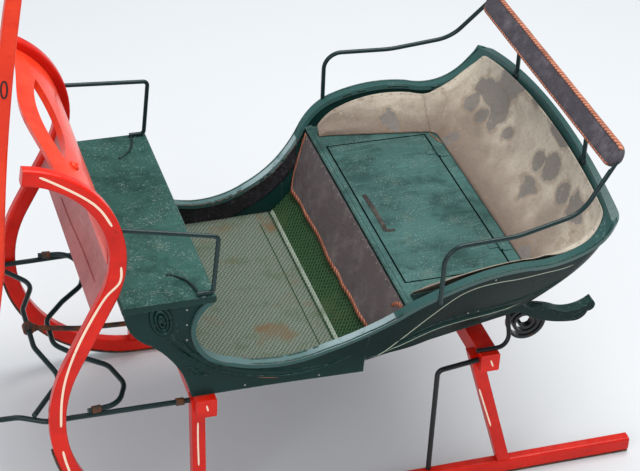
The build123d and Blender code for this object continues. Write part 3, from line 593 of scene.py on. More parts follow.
def lamp(name, place, size, power, colour):
    """A square lamp that faces the middle of the sleigh."""
    light = bpy.data.lights.new(name, "AREA")
    light.size, light.energy, light.color = size, power, colour
    holder = bpy.data.objects.new(name, light)
    holder.location = place
    holder.rotation_euler = (LIT_MIDDLE - Vector(place)).to_track_quat("-Z", "Y").to_euler()
    bpy.context.scene.collection.objects.link(holder)


lamp("overhead", (-1.4, -0.4, 5.6), 4.0, 290, (1.0, 0.99, 0.97))
lamp("front_fill", (3.2, 4.2, 3.4), 3.0, 100, (0.95, 0.98, 1.0))
print("lit by", len(bpy.data.lights), "lamps and the sky")

# %% [markdown]
# ## Finding places on the frame
# Trim follows the surface it is fixed to, so each piece is placed by a ray onto the CAD mesh, not by a
# guessed height. A ray from the camera through a pixel of the photo finds the same place on the sleigh.
# A smooth curve through a few such places makes the path of a moulding or a painted line.

# %% Rays and paths
DOWN, UP = Vector((0, 0, -1)), Vector((0, 0, 1))


def skin(*names):
    """The surfaces of these CAD nodes, for rays and nearest points."""
    verts, faces = [], []
    for name in names:
        first = len(verts)
        verts += [parts[name].matrix_world @ v.co for v in parts[name].data.vertices]
        faces += [[first + i for i in p.vertices] for p in parts[name].data.polygons]
    return BVHTree.FromPolygons(verts, faces)


def skin_of(piece):
    """The surface of a piece that was made here."""
    mesh = piece.data
    return BVHTree.FromPolygons([v.co for v in mesh.vertices], [p.vertices for p in mesh.polygons])


def seen(surface, px, py):
    """The point of a surface that the photo shows at a pixel."""
    ray = look * LENS_PX + right * (px - PHOTO_WIDE / 2) - up * (py - PHOTO_HIGH / 2)
    return surface.ray_cast(eye, ray.normalized())[0]


def curve_through(points, gap=0.004):
    """Points about this far apart on a smooth curve through the given ones."""
    ends = [2 * points[0] - points[1], *points, 2 * points[-1] - points[-2]]
    path = []
    for a, b, c, d in zip(ends, ends[1:], ends[2:], ends[3:]):
        count = max(1, round((c - b).length / gap))
        for i in range(count):
            t = i / count
            path.append((2 * b + (c - a) * t + (2 * a - 5 * b + 4 * c - d) * t ** 2
                         + (3 * b - a - 3 * c + d) * t ** 3) / 2)
    return path + [points[-1]]


def spots_at(surface, pixels):
    """The points of a surface at those of the photo's pixels that show it."""
    spots = [seen(surface, x, y) for x, y in pixels]
    return [spot for spot in spots if spot]


def traced(surface, pixels):
    """A smooth path on a surface through some pixels of the photo."""
    return curve_through(spots_at(surface, pixels))


BOX_CORNER = (187, 340)
print("the box's front corner is at", seen(skin("footwell_side_left"), *BOX_CORNER))

# %% [markdown]
# ## Bands, heads and rods as rows of points
# A band is swept along a path: at each step its section stands on the surface, between the way forward
# and the way out. A nail head is a stack of rings. Both are closed rows of points, so one function joins
# either into a solid. A taper draws a painted line out to a point, as a brush does when it lifts.

# %% Bands and heads
FLAT = ((-1, 0), (-0.9, 0.8), (-0.6, 1), (0.6, 1), (0.9, 0.8), (1, 0))
ROUND = ((-1, 0), (-0.87, 0.5), (-0.5, 0.87), (0, 1), (0.5, 0.87), (0.87, 0.5), (1, 0))
HEAD = ((0.6, -0.3), (1.0, 0.0), (0.94, 0.4), (0.7, 0.8), (0.35, 0.97), (0.08, 1.0))
SINK, TIP_SHARE = 0.0006, 0.12


def tube(rows):
    """Closed rows of points joined into a solid, with a face at each end."""
    n = len(rows[0])
    verts = [point for row in rows for point in row]
    faces = [[r * n + i, r * n + (i + 1) % n, (r + 1) * n + (i + 1) % n, (r + 1) * n + i]
             for r in range(len(rows) - 1) for i in range(n)]
    return verts, faces + [list(range(n))[::-1], [len(verts) - n + i for i in range(n)]]


def heading(path, i):
    """The way forward at a step of a path."""
    return (path[min(i + 1, len(path) - 1)] - path[max(i - 1, 0)]).normalized()


def band(path, surface, wide, high, taper=0.0, section=ROUND):
    """A band laid along a surface, narrowing over the length taper at both ends."""
    run = [0.0]
    for a, b in zip(path, path[1:]):
        run.append(run[-1] + (b - a).length)
    rows = []
    for i, spot in enumerate(path):
        foot, out = surface.find_nearest(spot)[:2]
        over = out.cross(heading(path, i)).normalized()
        share = min(1.0, TIP_SHARE + min(run[i], run[-1] - run[i]) / taper) if taper else 1.0
        rows.append([foot + over * (wide / 2 * share * s) + out * (high * share * h - SINK)
                     for s, h in section])
    return tube(rows)


def dome(surface, spot, radius, high, sides=12):
    """A nail or screw head on a surface."""
    foot, out = surface.find_nearest(spot)[:2]
    across = out.orthogonal().normalized()
    over = out.cross(across)
    turns = [math.tau * i / sides for i in range(sides)]
    rows = [[foot + (across * math.cos(a) + over * math.sin(a)) * radius * share + out * high * rise
             for a in turns] for share, rise in HEAD]
    return tube(rows)


print("a line's section has", len(FLAT), "points, a bead's", len(ROUND), "and a head has", len(HEAD), "rings")

# %% [markdown]
# ## One object from many shapes
# Like shapes of one material become one object, because thousands of tiny objects are slow to edit. The
# sleigh is the same on both sides, so a shape that the photo shows on the left is mirrored to the right,
# with its faces turned round to keep looking outward.

# %% Objects
def other_side(shape):
    """The same shape mirrored onto the sleigh's right."""
    verts, faces = shape
    return [Vector((v.x, -v.y, v.z)) for v in verts], [face[::-1] for face in faces]


def make(name, shapes, material, body="sleigh", mirror=False):
    """One object from many shapes, riding on a body."""
    shapes = list(shapes) + ([other_side(s) for s in shapes] if mirror else [])
    verts, faces = [], []
    for more, loops in shapes:
        faces += [[len(verts) + i for i in loop] for loop in loops]
        verts += more
    mesh = bpy.data.meshes.new(name)
    mesh.from_pydata([v[:] for v in verts], [], faces)
    mesh.shade_smooth()
    mesh.materials.append(material)
    piece = bpy.data.objects.new(name, mesh)
    bpy.context.scene.collection.objects.link(piece)
    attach(piece, body)
    print(f"{name}: {len(shapes)} shapes, {len(faces)} faces")
    return piece


# %% [markdown]
# ## Cream lines on the red
# A coach painter pulls a line with a long-haired brush, in strokes that start and end in a point. Each
# runner has one down the middle of its outer face, broken at the scarf joint and before the flat. The
# knees have a short one each, and so have the ends of the bunks.

# %% Lines on the runners
PAINT_HIGH = 0.0009
red_wood = skin("runner_left", "knees_rear", "knees_front", "bunk_front", "bunk_rear")
NECK_STROKES = (
    ((33, 178), (43, 179), (80, 196), (100, 210), (115, 231)),
    ((121, 262), (120, 282), (104, 300), (82, 338), (68, 372), (62, 400), (61, 432)),
    ((62, 447), (66, 462), (73, 480)),
)


def stroke(surface, pixels, wide, taper, high=PAINT_HIGH):
    """A painted line through some pixels of the photo."""
    return band(traced(surface, pixels), surface, wide, high, taper, FLAT)


strokes = [stroke(red_wood, pixels, wide=0.0075, taper=0.030) for pixels in NECK_STROKES]
make("runner_lines", strokes, cream_line, mirror=True)

# %% Short strokes on the knees and the bunks' ends
KNEE_STROKES = (
    ("rear", ((478, 385), (492, 430))),
    ("front", ((198, 418), (198, 440), (199, 470))),
)
BUNK_STROKES = (((206, 403), (209, 414)), ((490, 358), (494, 369)))
for name, pixels in KNEE_STROKES:
    line = stroke(skin(f"knees_{name}"), pixels, wide=0.0055, taper=0.030)
    make(f"knee_line_{name}", [line], cream_line, mirror=True)
on_bunks = skin("bunk_front", "bunk_rear")
dashes = [stroke(on_bunks, pixels, wide=0.0055, taper=0.02) for pixels in BUNK_STROKES
          if len(spots_at(on_bunks, pixels)) == 2]
make("bunk_strokes", dashes, cream_line, mirror=True)

# %% [markdown]
# ## The scarf joint
# A runner is too long for one bent piece, so its neck is scarfed to it: both ends are cut on a long slant
# and glued. The joint shows as a thin dark line across the outer face, which is drawn like a stroke.

# %% Scarf joint
SCARF = ((111, 226), (116, 232), (122, 236))
make("scarf_joint", [stroke(red_wood, SCARF, wide=0.0025, taper=0.01, high=0.0006)], water_dirt, mirror=True)

# %% [markdown]
# ## Painted lines and mouldings on the body
# The green sides carry a fine line that climbs from the footwell's rear corner along the rim, and a pair
# of mouldings along the tub's lower edge. A planted moulding is a bead of wood glued on and painted over,
# so it has the body's finish. A second fine line runs along the crown of the lower one.

# %% Lines on the tub
tub_skin = skin("tub_side_left", "footwell_side_left", "tub_back")
UPPER_LINE = ((364, 361), (382, 353), (400, 340), (430, 317), (455, 299), (475, 289), (497, 283), (520, 279),
              (545, 273), (565, 268), (582, 261))
LOWER_BEAD = ((385, 352), (400, 344), (430, 330), (460, 320), (490, 312), (520, 303))
UPPER_BEAD = ((392, 345), (400, 340), (430, 326), (460, 316), (490, 308), (520, 299), (545, 289), (570, 274))
lower = traced(tub_skin, LOWER_BEAD)
higher = traced(tub_skin, UPPER_BEAD)
fine_lines = [stroke(tub_skin, UPPER_LINE, wide=0.0042, taper=0.05),
              band(lower, tub_skin, wide=0.0026, high=0.0062, taper=0.05, section=FLAT)]
make("tub_pinstripe", fine_lines, green_line, mirror=True)
planted = [band(lower, tub_skin, wide=0.013, high=0.0055, taper=0.06),
           band(higher, tub_skin, wide=0.006, high=0.0035, taper=0.06)]
make("tub_beads", planted, paint_green, mirror=True)

# %% [markdown]
# ## Beads along the rims
# Both edges of each rim are run with a small bead, cut with a moulding plane on the straight and with a
# scratch stock round the bends. Rays from above find where the rim's top starts and ends at each station,
# so the two beads keep to its edges.

# %% Beads along the rims
RIMS = skin("tub_rims", "back_rim", "entry_rims")
TUB_MIDDLE_X, INSIDE_Y, STATION_GAP, ABOVE = -0.42, 0.30, 0.012, 1.5
BEAD_INSET, RIM_STEP = 0.14, 0.008


def rim_edges(start, way, far=0.75, gap=0.002):
    """The first and the last point of a rim's top under a level line from start, if it has any."""
    hits = []
    for i in range(int(far / gap)):
        spot = start + way * gap * i
        hit = RIMS.ray_cast(Vector((spot.x, spot.y, ABOVE)), DOWN)[0]
        if hit:
            hits.append(hit)
        elif hits:
            break
    return hits[:1] + hits[-1:]


def edges_along(lines):
    """The rim's two edges under each level line that crosses it."""
    found = [rim_edges(start, way) for start, way in lines]
    return [pair for pair in found if pair]


def side_lines(first_x, count):
    """Level lines to the left from stations along a straight side."""
    return [(Vector((first_x + STATION_GAP * i, INSIDE_Y, 0)), Vector((0, 1, 0))) for i in range(count)]


turns = [math.radians(degrees) for degrees in range(39, 86, 3)]
tub_middle = Vector((TUB_MIDDLE_X, 0, 0))
corner_lines = [(tub_middle, Vector((-math.cos(a), math.sin(a), 0))) for a in turns]
entry_edges = edges_along(side_lines(-0.20, 38))
rim_bands = []
for edges in (edges_along(corner_lines + side_lines(-0.40, 12)), entry_edges):
    for side in (0, 1):
        line = [pair[side].lerp(pair[1 - side], BEAD_INSET) for pair in edges]
        rim_bands.append(band(curve_through(line, RIM_STEP), RIMS, wide=0.0060, high=0.0026, taper=0.04))
make("rim_beads", rim_bands, paint_green, mirror=True)

# %% [markdown]
# ## Dirt along the entry
# Boots leave mud along the inner edge of the entry's rim, where no cloth reaches. It is a thin dark line
# with crumbs beside it. Noise read at each place scatters them, so they fall alike on every run.

# %% Dirt along the entry
def crumbs(surface, path, size):
    """Crumbs of dirt beside a path, no two alike."""
    made = []
    for spot in path:
        here = spot * 90
        stray = Vector((noise.noise(here), noise.noise(here + Vector((5, 5, 5))), 0)) * size
        radius = size * (0.4 + 1.2 * abs(noise.noise(spot * 60)))
        made.append(dome(surface, spot + stray, radius, size * 0.5, sides=7))
    return made


inner = curve_through([pair[0].lerp(pair[1], 0.04) for pair in entry_edges], RIM_STEP)
dirt = [band(inner, RIMS, wide=0.0045, high=0.0016, taper=0.04), *crumbs(RIMS, inner, 0.0036)]
make("entry_dirt", dirt, water_dirt, mirror=True)

# %% [markdown]
# ## Mouldings on the seat's front
# The seat's front rail carries two narrow reeds from side to side. They stiffen the thin edge and hide the
# tacks of the leather below. They follow from the rail's own box, so they fit its length.

# %% Seat reeds
REED_INSETS, REED_END = (0.006, 0.017), 0.02
seat_low, seat_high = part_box("seat_rail")
on_rail = skin("seat_rail")
reed_ys = [seat_low[Y] + REED_END, seat_low[Y] / 2, 0, seat_high[Y] / 2, seat_high[Y] - REED_END]
reeds = []
for inset in REED_INSETS:
    line = [Vector((seat_high[X] - inset, y, seat_high[Z])) for y in reed_ys]
    reeds.append(band(curve_through(line, 0.02), on_rail, wide=0.007, high=0.0030))
make("seat_reeds", reeds, deck_green)

# %% [markdown]
# ## The dash
# The slotted dash has a turned boss where its panel meets the neck, a ridge down the panel's middle, and a
# fine cream line inside the panel's edge. The boss is two heads of different sizes on one spot.

# %% Dash trim
dash_skin, panel_skin = skin("dash_board"), skin("dash_panel")
RIDGE = ((60, 196), (70, 222), (84, 254), (95, 284))
PANEL_LINE = ((74, 208), (84, 226), (94, 250), (99, 266))
BOSS = (74, 166)
ridge = band(traced(panel_skin, RIDGE), panel_skin, wide=0.008, high=0.004, taper=0.02)
make("panel_ridge", [ridge], panel_red_and_sheen)
make("panel_line", [stroke(panel_skin, PANEL_LINE, wide=0.0030, taper=0.02, high=0.0006)], cream_line)
boss_at = seen(dash_skin, *BOSS)
boss = [dome(dash_skin, boss_at, 0.016, 0.009, 24), dome(dash_skin, boss_at, 0.008, 0.013, 16)]
make("dash_boss", boss, dash_red)

# %% [markdown]
# ## Carving at the driver's box
# An oval rosette sits where the box meets the footwell, with a scroll running from it along the sill. On
# the real sleigh they are carved in low relief. Here they are bands on closed ovals and a tapered S. A
# split along the sill shows bare wood.

# %% Rosette
well_skin = skin("footwell_side_left", "entry_rims")
ROSETTE, ROSETTE_LEAN = (161, 320), 0.16
# Each oval's half width and half height in pixels, then its band's width and height in metres.
OVALS = ((9.5, 14.0, 0.0150, 0.0100), (5.8, 9.4, 0.0110, 0.0130), (2.8, 5.2, 0.0085, 0.0150))


def oval(surface, middle, half_wide, half_high, steps, lean=0.0):
    """A closed path on a surface, drawn as an oval in the photo's own plane."""
    pixels = []
    for i in range(steps + 1):
        a = math.tau * i / steps
        x = middle[0] + half_wide * math.cos(a) + lean * half_high * math.sin(a)
        pixels.append((x, middle[1] + half_high * math.sin(a)))
    return spots_at(surface, pixels)


carving = []
for half_wide, half_high, wide, high in OVALS:
    path = oval(well_skin, ROSETTE, half_wide, half_high, 40, ROSETTE_LEAN)
    carving.append(band(path, well_skin, wide, high))
carving.append(dome(well_skin, seen(well_skin, *ROSETTE), 0.011, 0.014))
print("the rosette has", len(carving), "shapes")

# %% Leaf, scroll and split
LEAF = ((188, 367), (191, 372), (198, 375), (207, 375), (200, 371), (194, 368), (188, 367))
VEIN = ((190, 368), (196, 371), (205, 375))
SCROLL = ((163, 333), (171, 343), (184, 354), (204, 365), (228, 372), (256, 375), (290, 374), (325, 366),
          (352, 355))
S_UPPER = ((176, 322), (178, 334), (186, 346), (200, 357), (220, 365), (245, 370))
STEM = ((168, 330), (176, 341), (188, 351), (205, 361), (225, 368), (250, 372), (290, 372), (335, 363))
SPLIT = ((243, 374), (265, 376), (287, 375))
# The pixels of each carved band, then its width, height and taper in metres.
CARVED = (
    (LEAF, 0.0045, 0.0040, 0.0),
    (VEIN, 0.0040, 0.0048, 0.02),
    (SCROLL, 0.009, 0.0095, 0.16),
    (S_UPPER, 0.008, 0.0060, 0.10),
    (STEM, 0.034, 0.0070, 0.22),
)
carving += [band(traced(well_skin, pixels), well_skin, wide, high, taper)
            for pixels, wide, high, taper in CARVED]
make("rosette_and_scroll", carving, paint_green, mirror=True)
make("split_rim", [stroke(well_skin, SPLIT, wide=0.0030, taper=0.03, high=0.0078)], bare_wood)

# %% [markdown]
# ## Screws and nails
# Small heads are domes, one ring of points after another. Each sits where the photo shows it, and its
# mirror twin on the far side holds the same joint.

# %% Screws on the body
SCREWS = ((187, 310), (187, 325), (187, 340), (245, 385), (319, 375), (468, 313), (478, 311), (496, 280),
          (519, 279))
screws = [dome(tub_skin, spot, radius=0.0032, high=0.0018) for spot in spots_at(tub_skin, SCREWS)]
make("body_screws", screws, nail_metal, mirror=True)

# %% [markdown]
# ## Braces and flanges
# Each front rail is steadied by a thin brace that is beaten flat where it meets the seat. Round flanges
# stand under every upright. A rod is a row of circles along a curve, and a flange is a very low dome.

# %% Rods, braces and flanges
BEATEN_SHARE, OFF_THE_SEAT = 0.35, Vector((0, 0, 0.0045))
BRACE = ((168, 275), (176, 277), (187, 282), (195, 290), (199, 296))
BRACE_RISES = (0.3, 0.6, 1.0, 1.2, 1.0)
SEAT_FLANGES = (((203, 296), 0.013), ((168, 275), 0.006))
POST_FEET = ((581, 159), (515, 73))


def rod(path, radius, sides=10, flat_end=0.0):
    """A round rod along a path, beaten flat near its start where flat_end is above 0."""
    rows, last = [], len(path) - 1
    across = (path[1] - path[0]).orthogonal().normalized()
    turns = [math.tau * k / sides for k in range(sides)]
    for i, spot in enumerate(path):
        along = heading(path, i)
        across = (across - along * across.dot(along)).normalized()
        over = along.cross(across)
        share = min(1.0, BEATEN_SHARE + i / last / flat_end) if flat_end else 1.0
        rows.append([spot + (across * math.cos(a) + over * math.sin(a)) * radius * share for a in turns])
    return tube(rows)


bench_skin, on_rim = skin("driver_seat"), skin("tub_rims", "back_rim")
brace_feet = [seen(bench_skin, *pixel) for pixel in BRACE]
brace = curve_through([foot + OFF_THE_SEAT * rise for foot, rise in zip(brace_feet, BRACE_RISES)])
make("rail_braces", [rod(brace, 0.0032, flat_end=0.5)], rod_green, mirror=True)
flanges = [dome(bench_skin, seen(bench_skin, *pixel), radius, 0.0035, 20) for pixel, radius in SEAT_FLANGES]
flanges += [dome(on_rim, spot, 0.0125, 0.0040, 20) for spot in spots_at(on_rim, POST_FEET)]
make("foot_flanges", flanges, rod_green, mirror=True)

# %% [markdown]
# ## Slot plates on the shafts
# Some way up from its hinge each shaft is slotted for a strap, and an iron ring keeps the slot's edge
# from splitting. The photo shows one as a narrow oval at its left edge, so the ring is a band on that
# oval. It rides on the shafts and swings down with them.

# %% Slot plates on the shafts
SLOT_MIDDLE, SLOT_HALF_WIDE, SLOT_HALF_HIGH = (4, 90), 3.2, 8.5
shaft_skin = skin("shaft_left", "shaft_right")
slot_ring = curve_through(oval(shaft_skin, SLOT_MIDDLE, SLOT_HALF_WIDE, SLOT_HALF_HIGH, 16))
make("shaft_slots", [band(slot_ring, shaft_skin, wide=0.005, high=0.003)], iron_black, "shafts", mirror=True)

# %% [markdown]
# ## Collars on the draft irons
# The smith clipped rods together with short collars, shrunk on hot. The photo gives two points on the near
# side of each rod, and the rod's radius takes them in to its middle, where a short thick rod makes the
# collar.

# %% Collars on the draft irons
draft = skin("draft_irons", "bow_front", "bow_middle", "centre_bar")
COLLARS = (((26, 329), (36, 329)), ((92, 408), (101, 407)), ((176, 401), (184, 400)))
ROD_RADIUS, COLLAR_RADIUS = 0.0075, 0.0115


def collar(near):
    """A clip round a rod between two points of its near side."""
    start, end = [spot - draft.find_nearest(spot)[1] * ROD_RADIUS for spot in near]
    return rod([start.lerp(end, i / 4) for i in range(5)], COLLAR_RADIUS, sides=14)


near_sides = [spots_at(draft, pixels) for pixels in COLLARS]
make("draft_collars", [collar(near) for near in near_sides if len(near) == 2], iron_bare, mirror=True)

# %% [markdown]
# ## Carved lines on the bearers' tails
# The bearers end behind the tub in tails with a few veined lines cut into them. Raised bands catch the
# light in the same places as the real cuts, without changing the tails' own shape.

# %% Carved lines on the bearers' tails
tail_skin = skin("bearers")
TAIL_LINES = (
    ((536, 307), (552, 312), (570, 315), (585, 310)),
    ((560, 320), (575, 318), (590, 308)),
    ((528, 304), (540, 303), (548, 308)),
)
tails = [band(traced(tail_skin, pixels), tail_skin, wide=0.0060, high=0.0035, taper=0.03)
         for pixels in TAIL_LINES]
make("tail_carving", tails, shaded_bearer_green, mirror=True)

# %% [markdown]
# ## Sheets of cloth and leather
# A sheet is a grid of points on the surface that it covers, lifted by its folds, with a second layer
# behind it for its thickness. Rays find the surface, so the sheet keeps the tub's real curve. Its flat size
# and area are measured on the finished front, as a cutter would need them.

# %% A closed sheet from a grid
def run_of(line):
    """The length of a line of points."""
    return sum((a - b).length for a, b in zip(line, line[1:]))


def sheet(name, grid, inward, thick, fold, material, node):
    """A sheet over a grid of points. fold(row share, column share, point) is how far it lifts."""
    last_row, last_col = len(grid) - 1, len(grid[0]) - 1
    front, back = [], []
    for r, row in enumerate(grid):
        outs = []
        for c, spot in enumerate(row):
            down = grid[min(r + 1, last_row)][c] - grid[max(r - 1, 0)][c]
            over = row[min(c + 1, last_col)] - row[max(c - 1, 0)]
            out = down.cross(over).normalized()
            outs.append(out if out.dot(inward - spot) > 0 else -out)
        lifts = [fold(r / last_row, c / last_col, spot) for c, spot in enumerate(row)]
        front.append([spot + out * (lift + thick) for spot, out, lift in zip(row, outs, lifts)])
        back.append([spot + out * lift for spot, out, lift in zip(row, outs, lifts)])

    cols, n = last_col + 1, len(grid) * len(grid[0])
    verts = [point for row in front + back for point in row]
    faces = []
    for r in range(last_row):
        for c in range(last_col):
            a = r * cols + c
            faces.append([a, a + 1, a + cols + 1, a + cols])
            faces.append([n + a, n + a + cols, n + a + cols + 1, n + a + 1])
    rim = [*range(cols), *[r * cols + last_col for r in range(1, last_row + 1)]]
    rim += [last_row * cols + c for c in range(last_col - 1, -1, -1)]
    rim += [r * cols for r in range(last_row - 1, 0, -1)]
    faces += [[a, n + a, n + b, b] for a, b in zip(rim, rim[1:] + rim[:1])]
    piece = make(name, [(verts, faces)], material)

    area = sum((a - b).cross(a - d).length
               for row, lower_row in zip(front, front[1:]) for a, b, d in zip(row, row[1:], lower_row))
    flat = (max(run_of(row) for row in front), max(run_of(column) for column in zip(*front)))
    if node:
        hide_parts(node)
    print(f"  cut {flat[0]:.2f} x {flat[1]:.2f} m, {area:.2f} square metres")
    return piece


print("the camera stands", round(run_of([eye, AIM]), 3), "m from its aim")

# %% Folds and searches
def spot_on(piece, columns, r, c):
    """A point of a sheet's front, by its row and column."""
    return piece.data.vertices[r * columns + c].co


def ripple(point, size, depth, seed=0.0):
    """Smooth noise in metres, at most about depth either way."""
    return noise.noise(point / size + Vector((seed, seed, seed))) * depth * 1.6


def last_hit(low, high, hits):
    """The greatest value from low to high at which a ray still hits, found by halving."""
    for _ in range(12):
        mid = (low + high) / 2
        low, high = (mid, high) if hits(mid) else (low, mid)
    return low


print("a 3 mm ripple lifts the camera's aim by", round(ripple(AIM, 0.11, 0.003) * 1000, 2), "mm")

# %% [markdown]
# ## The linings
# Oilcloth is tacked along the rim and the seat, so it is drawn tight there and sags between. Wet and
# age have pulled it into long folds that fan out from the corners. The back is one piece that wraps round
# both corners, and each side has its own. Level rays from inside the tub find the grid's points, and the
# top row is tucked up under the rim.

# %% Rays for the linings
LINING = skin("back_lining", "side_linings")
INSIDE, SEAM_X, SEAM_Y = Vector((-0.45, 0, 0.80)), -0.599, 0.5
TOP_GAP, DECK_GAP, TOP_AIM_Z, TOP_SEARCH_Z = 0.0015, 0.001, 0.86, 1.1
REACH, MOST_TUCK, EVEN_OVER = 0.022, 0.010, 6
deck_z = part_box("back_lining")[0][Z]


def lining_hit(start, way, z):
    return LINING.ray_cast(Vector((start.x, start.y, z)), way)[0]


def back_way(share, z):
    """The level direction of the back's ray at this share of its width. SEAM_Y serves above the seam."""
    seam = LINING.ray_cast(Vector((SEAM_X, 0, z)), Vector((0, 1, 0)))[0]
    widest = math.atan2(seam.y if seam else SEAM_Y, INSIDE.x - SEAM_X)
    return Vector((-math.cos(share * widest), math.sin(share * widest), 0))


def tucked(tops, lower_row):
    """The lining's top row: as far up as the rim allows, evened out along the row."""
    ways = [(a - b).normalized() for a, b in zip(tops, lower_row)]
    gaps = [RIMS.ray_cast(a, way, REACH)[3] for a, way in zip(tops, ways)]
    rises = [TOP_GAP if gap is None else min(gap, MOST_TUCK) for gap in gaps]
    groups = [rises[max(0, c - EVEN_OVER):c + EVEN_OVER + 1] for c in range(len(rises))]
    return [a + way * (sum(group) / len(group)) for a, way, group in zip(tops, ways, groups)]


def lining_grid(columns, rows, ray):
    """A grid from the deck up to the rim. ray(share, z) gives each ray's start and way."""
    grid = [[] for _ in range(rows)]
    for c in range(columns):
        share = c / (columns - 1)
        start, way = ray(share, TOP_AIM_Z)
        top = last_hit(deck_z + 0.01, TOP_SEARCH_Z, lambda z: lining_hit(start, way, z)) - TOP_GAP
        for r in range(rows):
            z = deck_z + DECK_GAP + (top - deck_z - DECK_GAP) * r / (rows - 1)
            grid[r].append(lining_hit(*ray(share, z), z) or grid[r - 1][-1])
    return [*grid, tucked(grid[-1], grid[-4])]


print("the linings stand on the deck at", round(deck_z, 3), "m")

# %% Back lining
BACK_COLUMNS, BACK_ROWS, CLOTH_THICK, SAG = 150, 46, 0.0022, 0.0035


def held_edges(r, c):
    """0 at a lining's tacked edges and 1 over its middle."""
    return min(1.0, 6 * r) * min(1.0, 6 * (1 - r)) * min(1.0, 14 * c, 14 * (1 - c))


def back_fold(r, c, point):
    """Fans from both lower corners, and a soft sag between the tacks."""
    near_corner = min(c, 1 - c)
    fan = math.sin(26 * math.atan2(r + 0.05, near_corner + 0.02)) * math.exp(-5 * near_corner) * 0.0028
    return held_edges(r, c) * (SAG + fan + ripple(point, 0.11, 0.0035) + ripple(point, 0.03, 0.0008))


back_grid = lining_grid(BACK_COLUMNS, BACK_ROWS, lambda share, z: (INSIDE, back_way(2 * share - 1, z)))
back_cloth = sheet("back_oilcloth", back_grid, INSIDE, CLOTH_THICK, back_fold, stained_oilcloth,
                   "back_lining")

# %% [markdown]
# ## Tacks along the linings
# Oilcloth is held by small round-headed tacks, about four centimetres apart. They follow one row of the
# cloth's own points, a little below its top edge, so they rise and fall with its folds.

# %% A row of tacks along a sheet's top
def top_tacks(name, piece, columns, rows, every):
    """Nail heads a little below a lining's top edge."""
    cloth = skin_of(piece)
    spots = [spot_on(piece, columns, rows - 2, c) for c in range(every, columns - 1, every)]
    make(name, [dome(cloth, spot, radius=0.0028, high=0.0016, sides=8) for spot in spots], nail_metal)


top_tacks("back_tacks", back_cloth, BACK_COLUMNS, BACK_ROWS, 4)

# %% [markdown]
# ## The side linings
# Each side has its own piece of oilcloth, from the corner's seam forward to the arm. It is pulled from
# one end, so its folds are long and slanting. The same grid and tacks serve, with rays straight across.

# %% Side linings
SIDE_COLUMNS, SIDE_ROWS = 80, 30
SIDE_FRONT_X, SIDE_REAR_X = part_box("side_linings")[1][X] - 0.002, SEAM_X - 0.001


def side_fold(r, c, point):
    """Long folds along the side, deepest in the middle."""
    fold = math.sin(7 * r + 3.0 * c + 2 * math.sin(3 * c)) * 0.0022
    return held_edges(r, c) * (SAG + fold + ripple(point, 0.09, 0.0030, 3.0) + ripple(point, 0.025, 0.0008))


def side_start(share):
    """Where a side's ray starts, on the sleigh's middle line."""
    return Vector((SIDE_FRONT_X + (SIDE_REAR_X - SIDE_FRONT_X) * share, 0, 0))


for hand, toward in (("left", 1), ("right", -1)):
    grid = lining_grid(SIDE_COLUMNS, SIDE_ROWS, lambda share, z: (side_start(share), Vector((0, toward, 0))))
    cloth = sheet(f"side_oilcloth_{hand}", grid, INSIDE, CLOTH_THICK, side_fold, stained_oilcloth,
                  "side_linings")
    top_tacks(f"side_tacks_{hand}", cloth, SIDE_COLUMNS, SIDE_ROWS, 7)

# %% [markdown]
# ## Dirt where the lining meets the seat
# Rust from the tacks and crumbs of old cloth gather in the seat's far corner. The crumbs follow the
# lining's lowest row, a centimetre in from it, in two sizes.

# %% Dirt where the lining meets the seat
deck_skin = skin("seat_deck")
far_corner = [p for p in back_grid[0] if p.y < -0.30]
corner = curve_through([p + (INSIDE - p).normalized() * 0.010 for p in far_corner[::6]], 0.006)
corner_crumbs = [*crumbs(deck_skin, corner, 0.0050), *crumbs(deck_skin, corner[::2], 0.0070)]
make("corner_dirt", corner_crumbs, rust_crumbs)

# %% [markdown]
# ## The seat fall
# A leather curtain hangs from the seat's front rail over the riser, cut narrower at its foot and edged
# with a woollen braid. Hide hangs in broad waves that start at the tacks and open towards the free edge.

# %% Fall
fall_low, fall_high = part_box("seat_fall")
FALL_TOP = Vector((fall_low[X], 0, fall_high[Z] - 0.001))
FALL_FOOT = Vector((fall_high[X] - 0.004, 0, fall_low[Z] + 0.001))
FALL_TOP_HALF, FALL_FOOT_HALF, FALL_THICK = 0.490, 0.425, 0.0024
FALL_MIDDLE, FALL_COLUMNS, FALL_ROWS = 70, 141, 37
IN_FRONT_OF_FALL = Vector((0.3, 0, 0.9))


def fall_point(r, share):
    """A point of the fall's plane, r down it and share across it from -1 to 1."""
    half = FALL_TOP_HALF + (FALL_FOOT_HALF - FALL_TOP_HALF) * r ** 1.5
    foot_wave = 0.010 * math.sin(5.3 * share + 0.6) * r
    spot = FALL_TOP.lerp(FALL_FOOT, r * (0.97 + foot_wave))
    return Vector((spot.x, half * share, spot.z))


def fall_fold(r, c, point):
    """Waves that open towards the foot, and small puckers between the tacks at the top."""
    waves = math.sin(31 * c + 1.2 * math.sin(9 * c)) * 0.0028 * r ** 1.4
    puckers = abs(math.sin(math.pi * 14 * c)) * 0.0016 * (1 - r) ** 3
    return max(0.0, 0.0030 * r + waves + puckers + ripple(point, 0.05, 0.0016, 5.0) * r)


fall_grid = [[fall_point(r / (FALL_ROWS - 1), c / FALL_MIDDLE - 1) for c in range(FALL_COLUMNS)]
             for r in range(FALL_ROWS)]
fall = sheet("leather_fall", fall_grid, IN_FRONT_OF_FALL, FALL_THICK, fall_fold, fall_leather, "seat_fall")

# %% [markdown]
# ## The fall's braid and tacks
# The braid is sewn along the fall's three free edges, one point in from the edge of its grid, and a
# loose end has torn at one top corner. A band with a fuller section makes it look soft. Tacks hold the
# fall under the rail, about four centimetres apart.

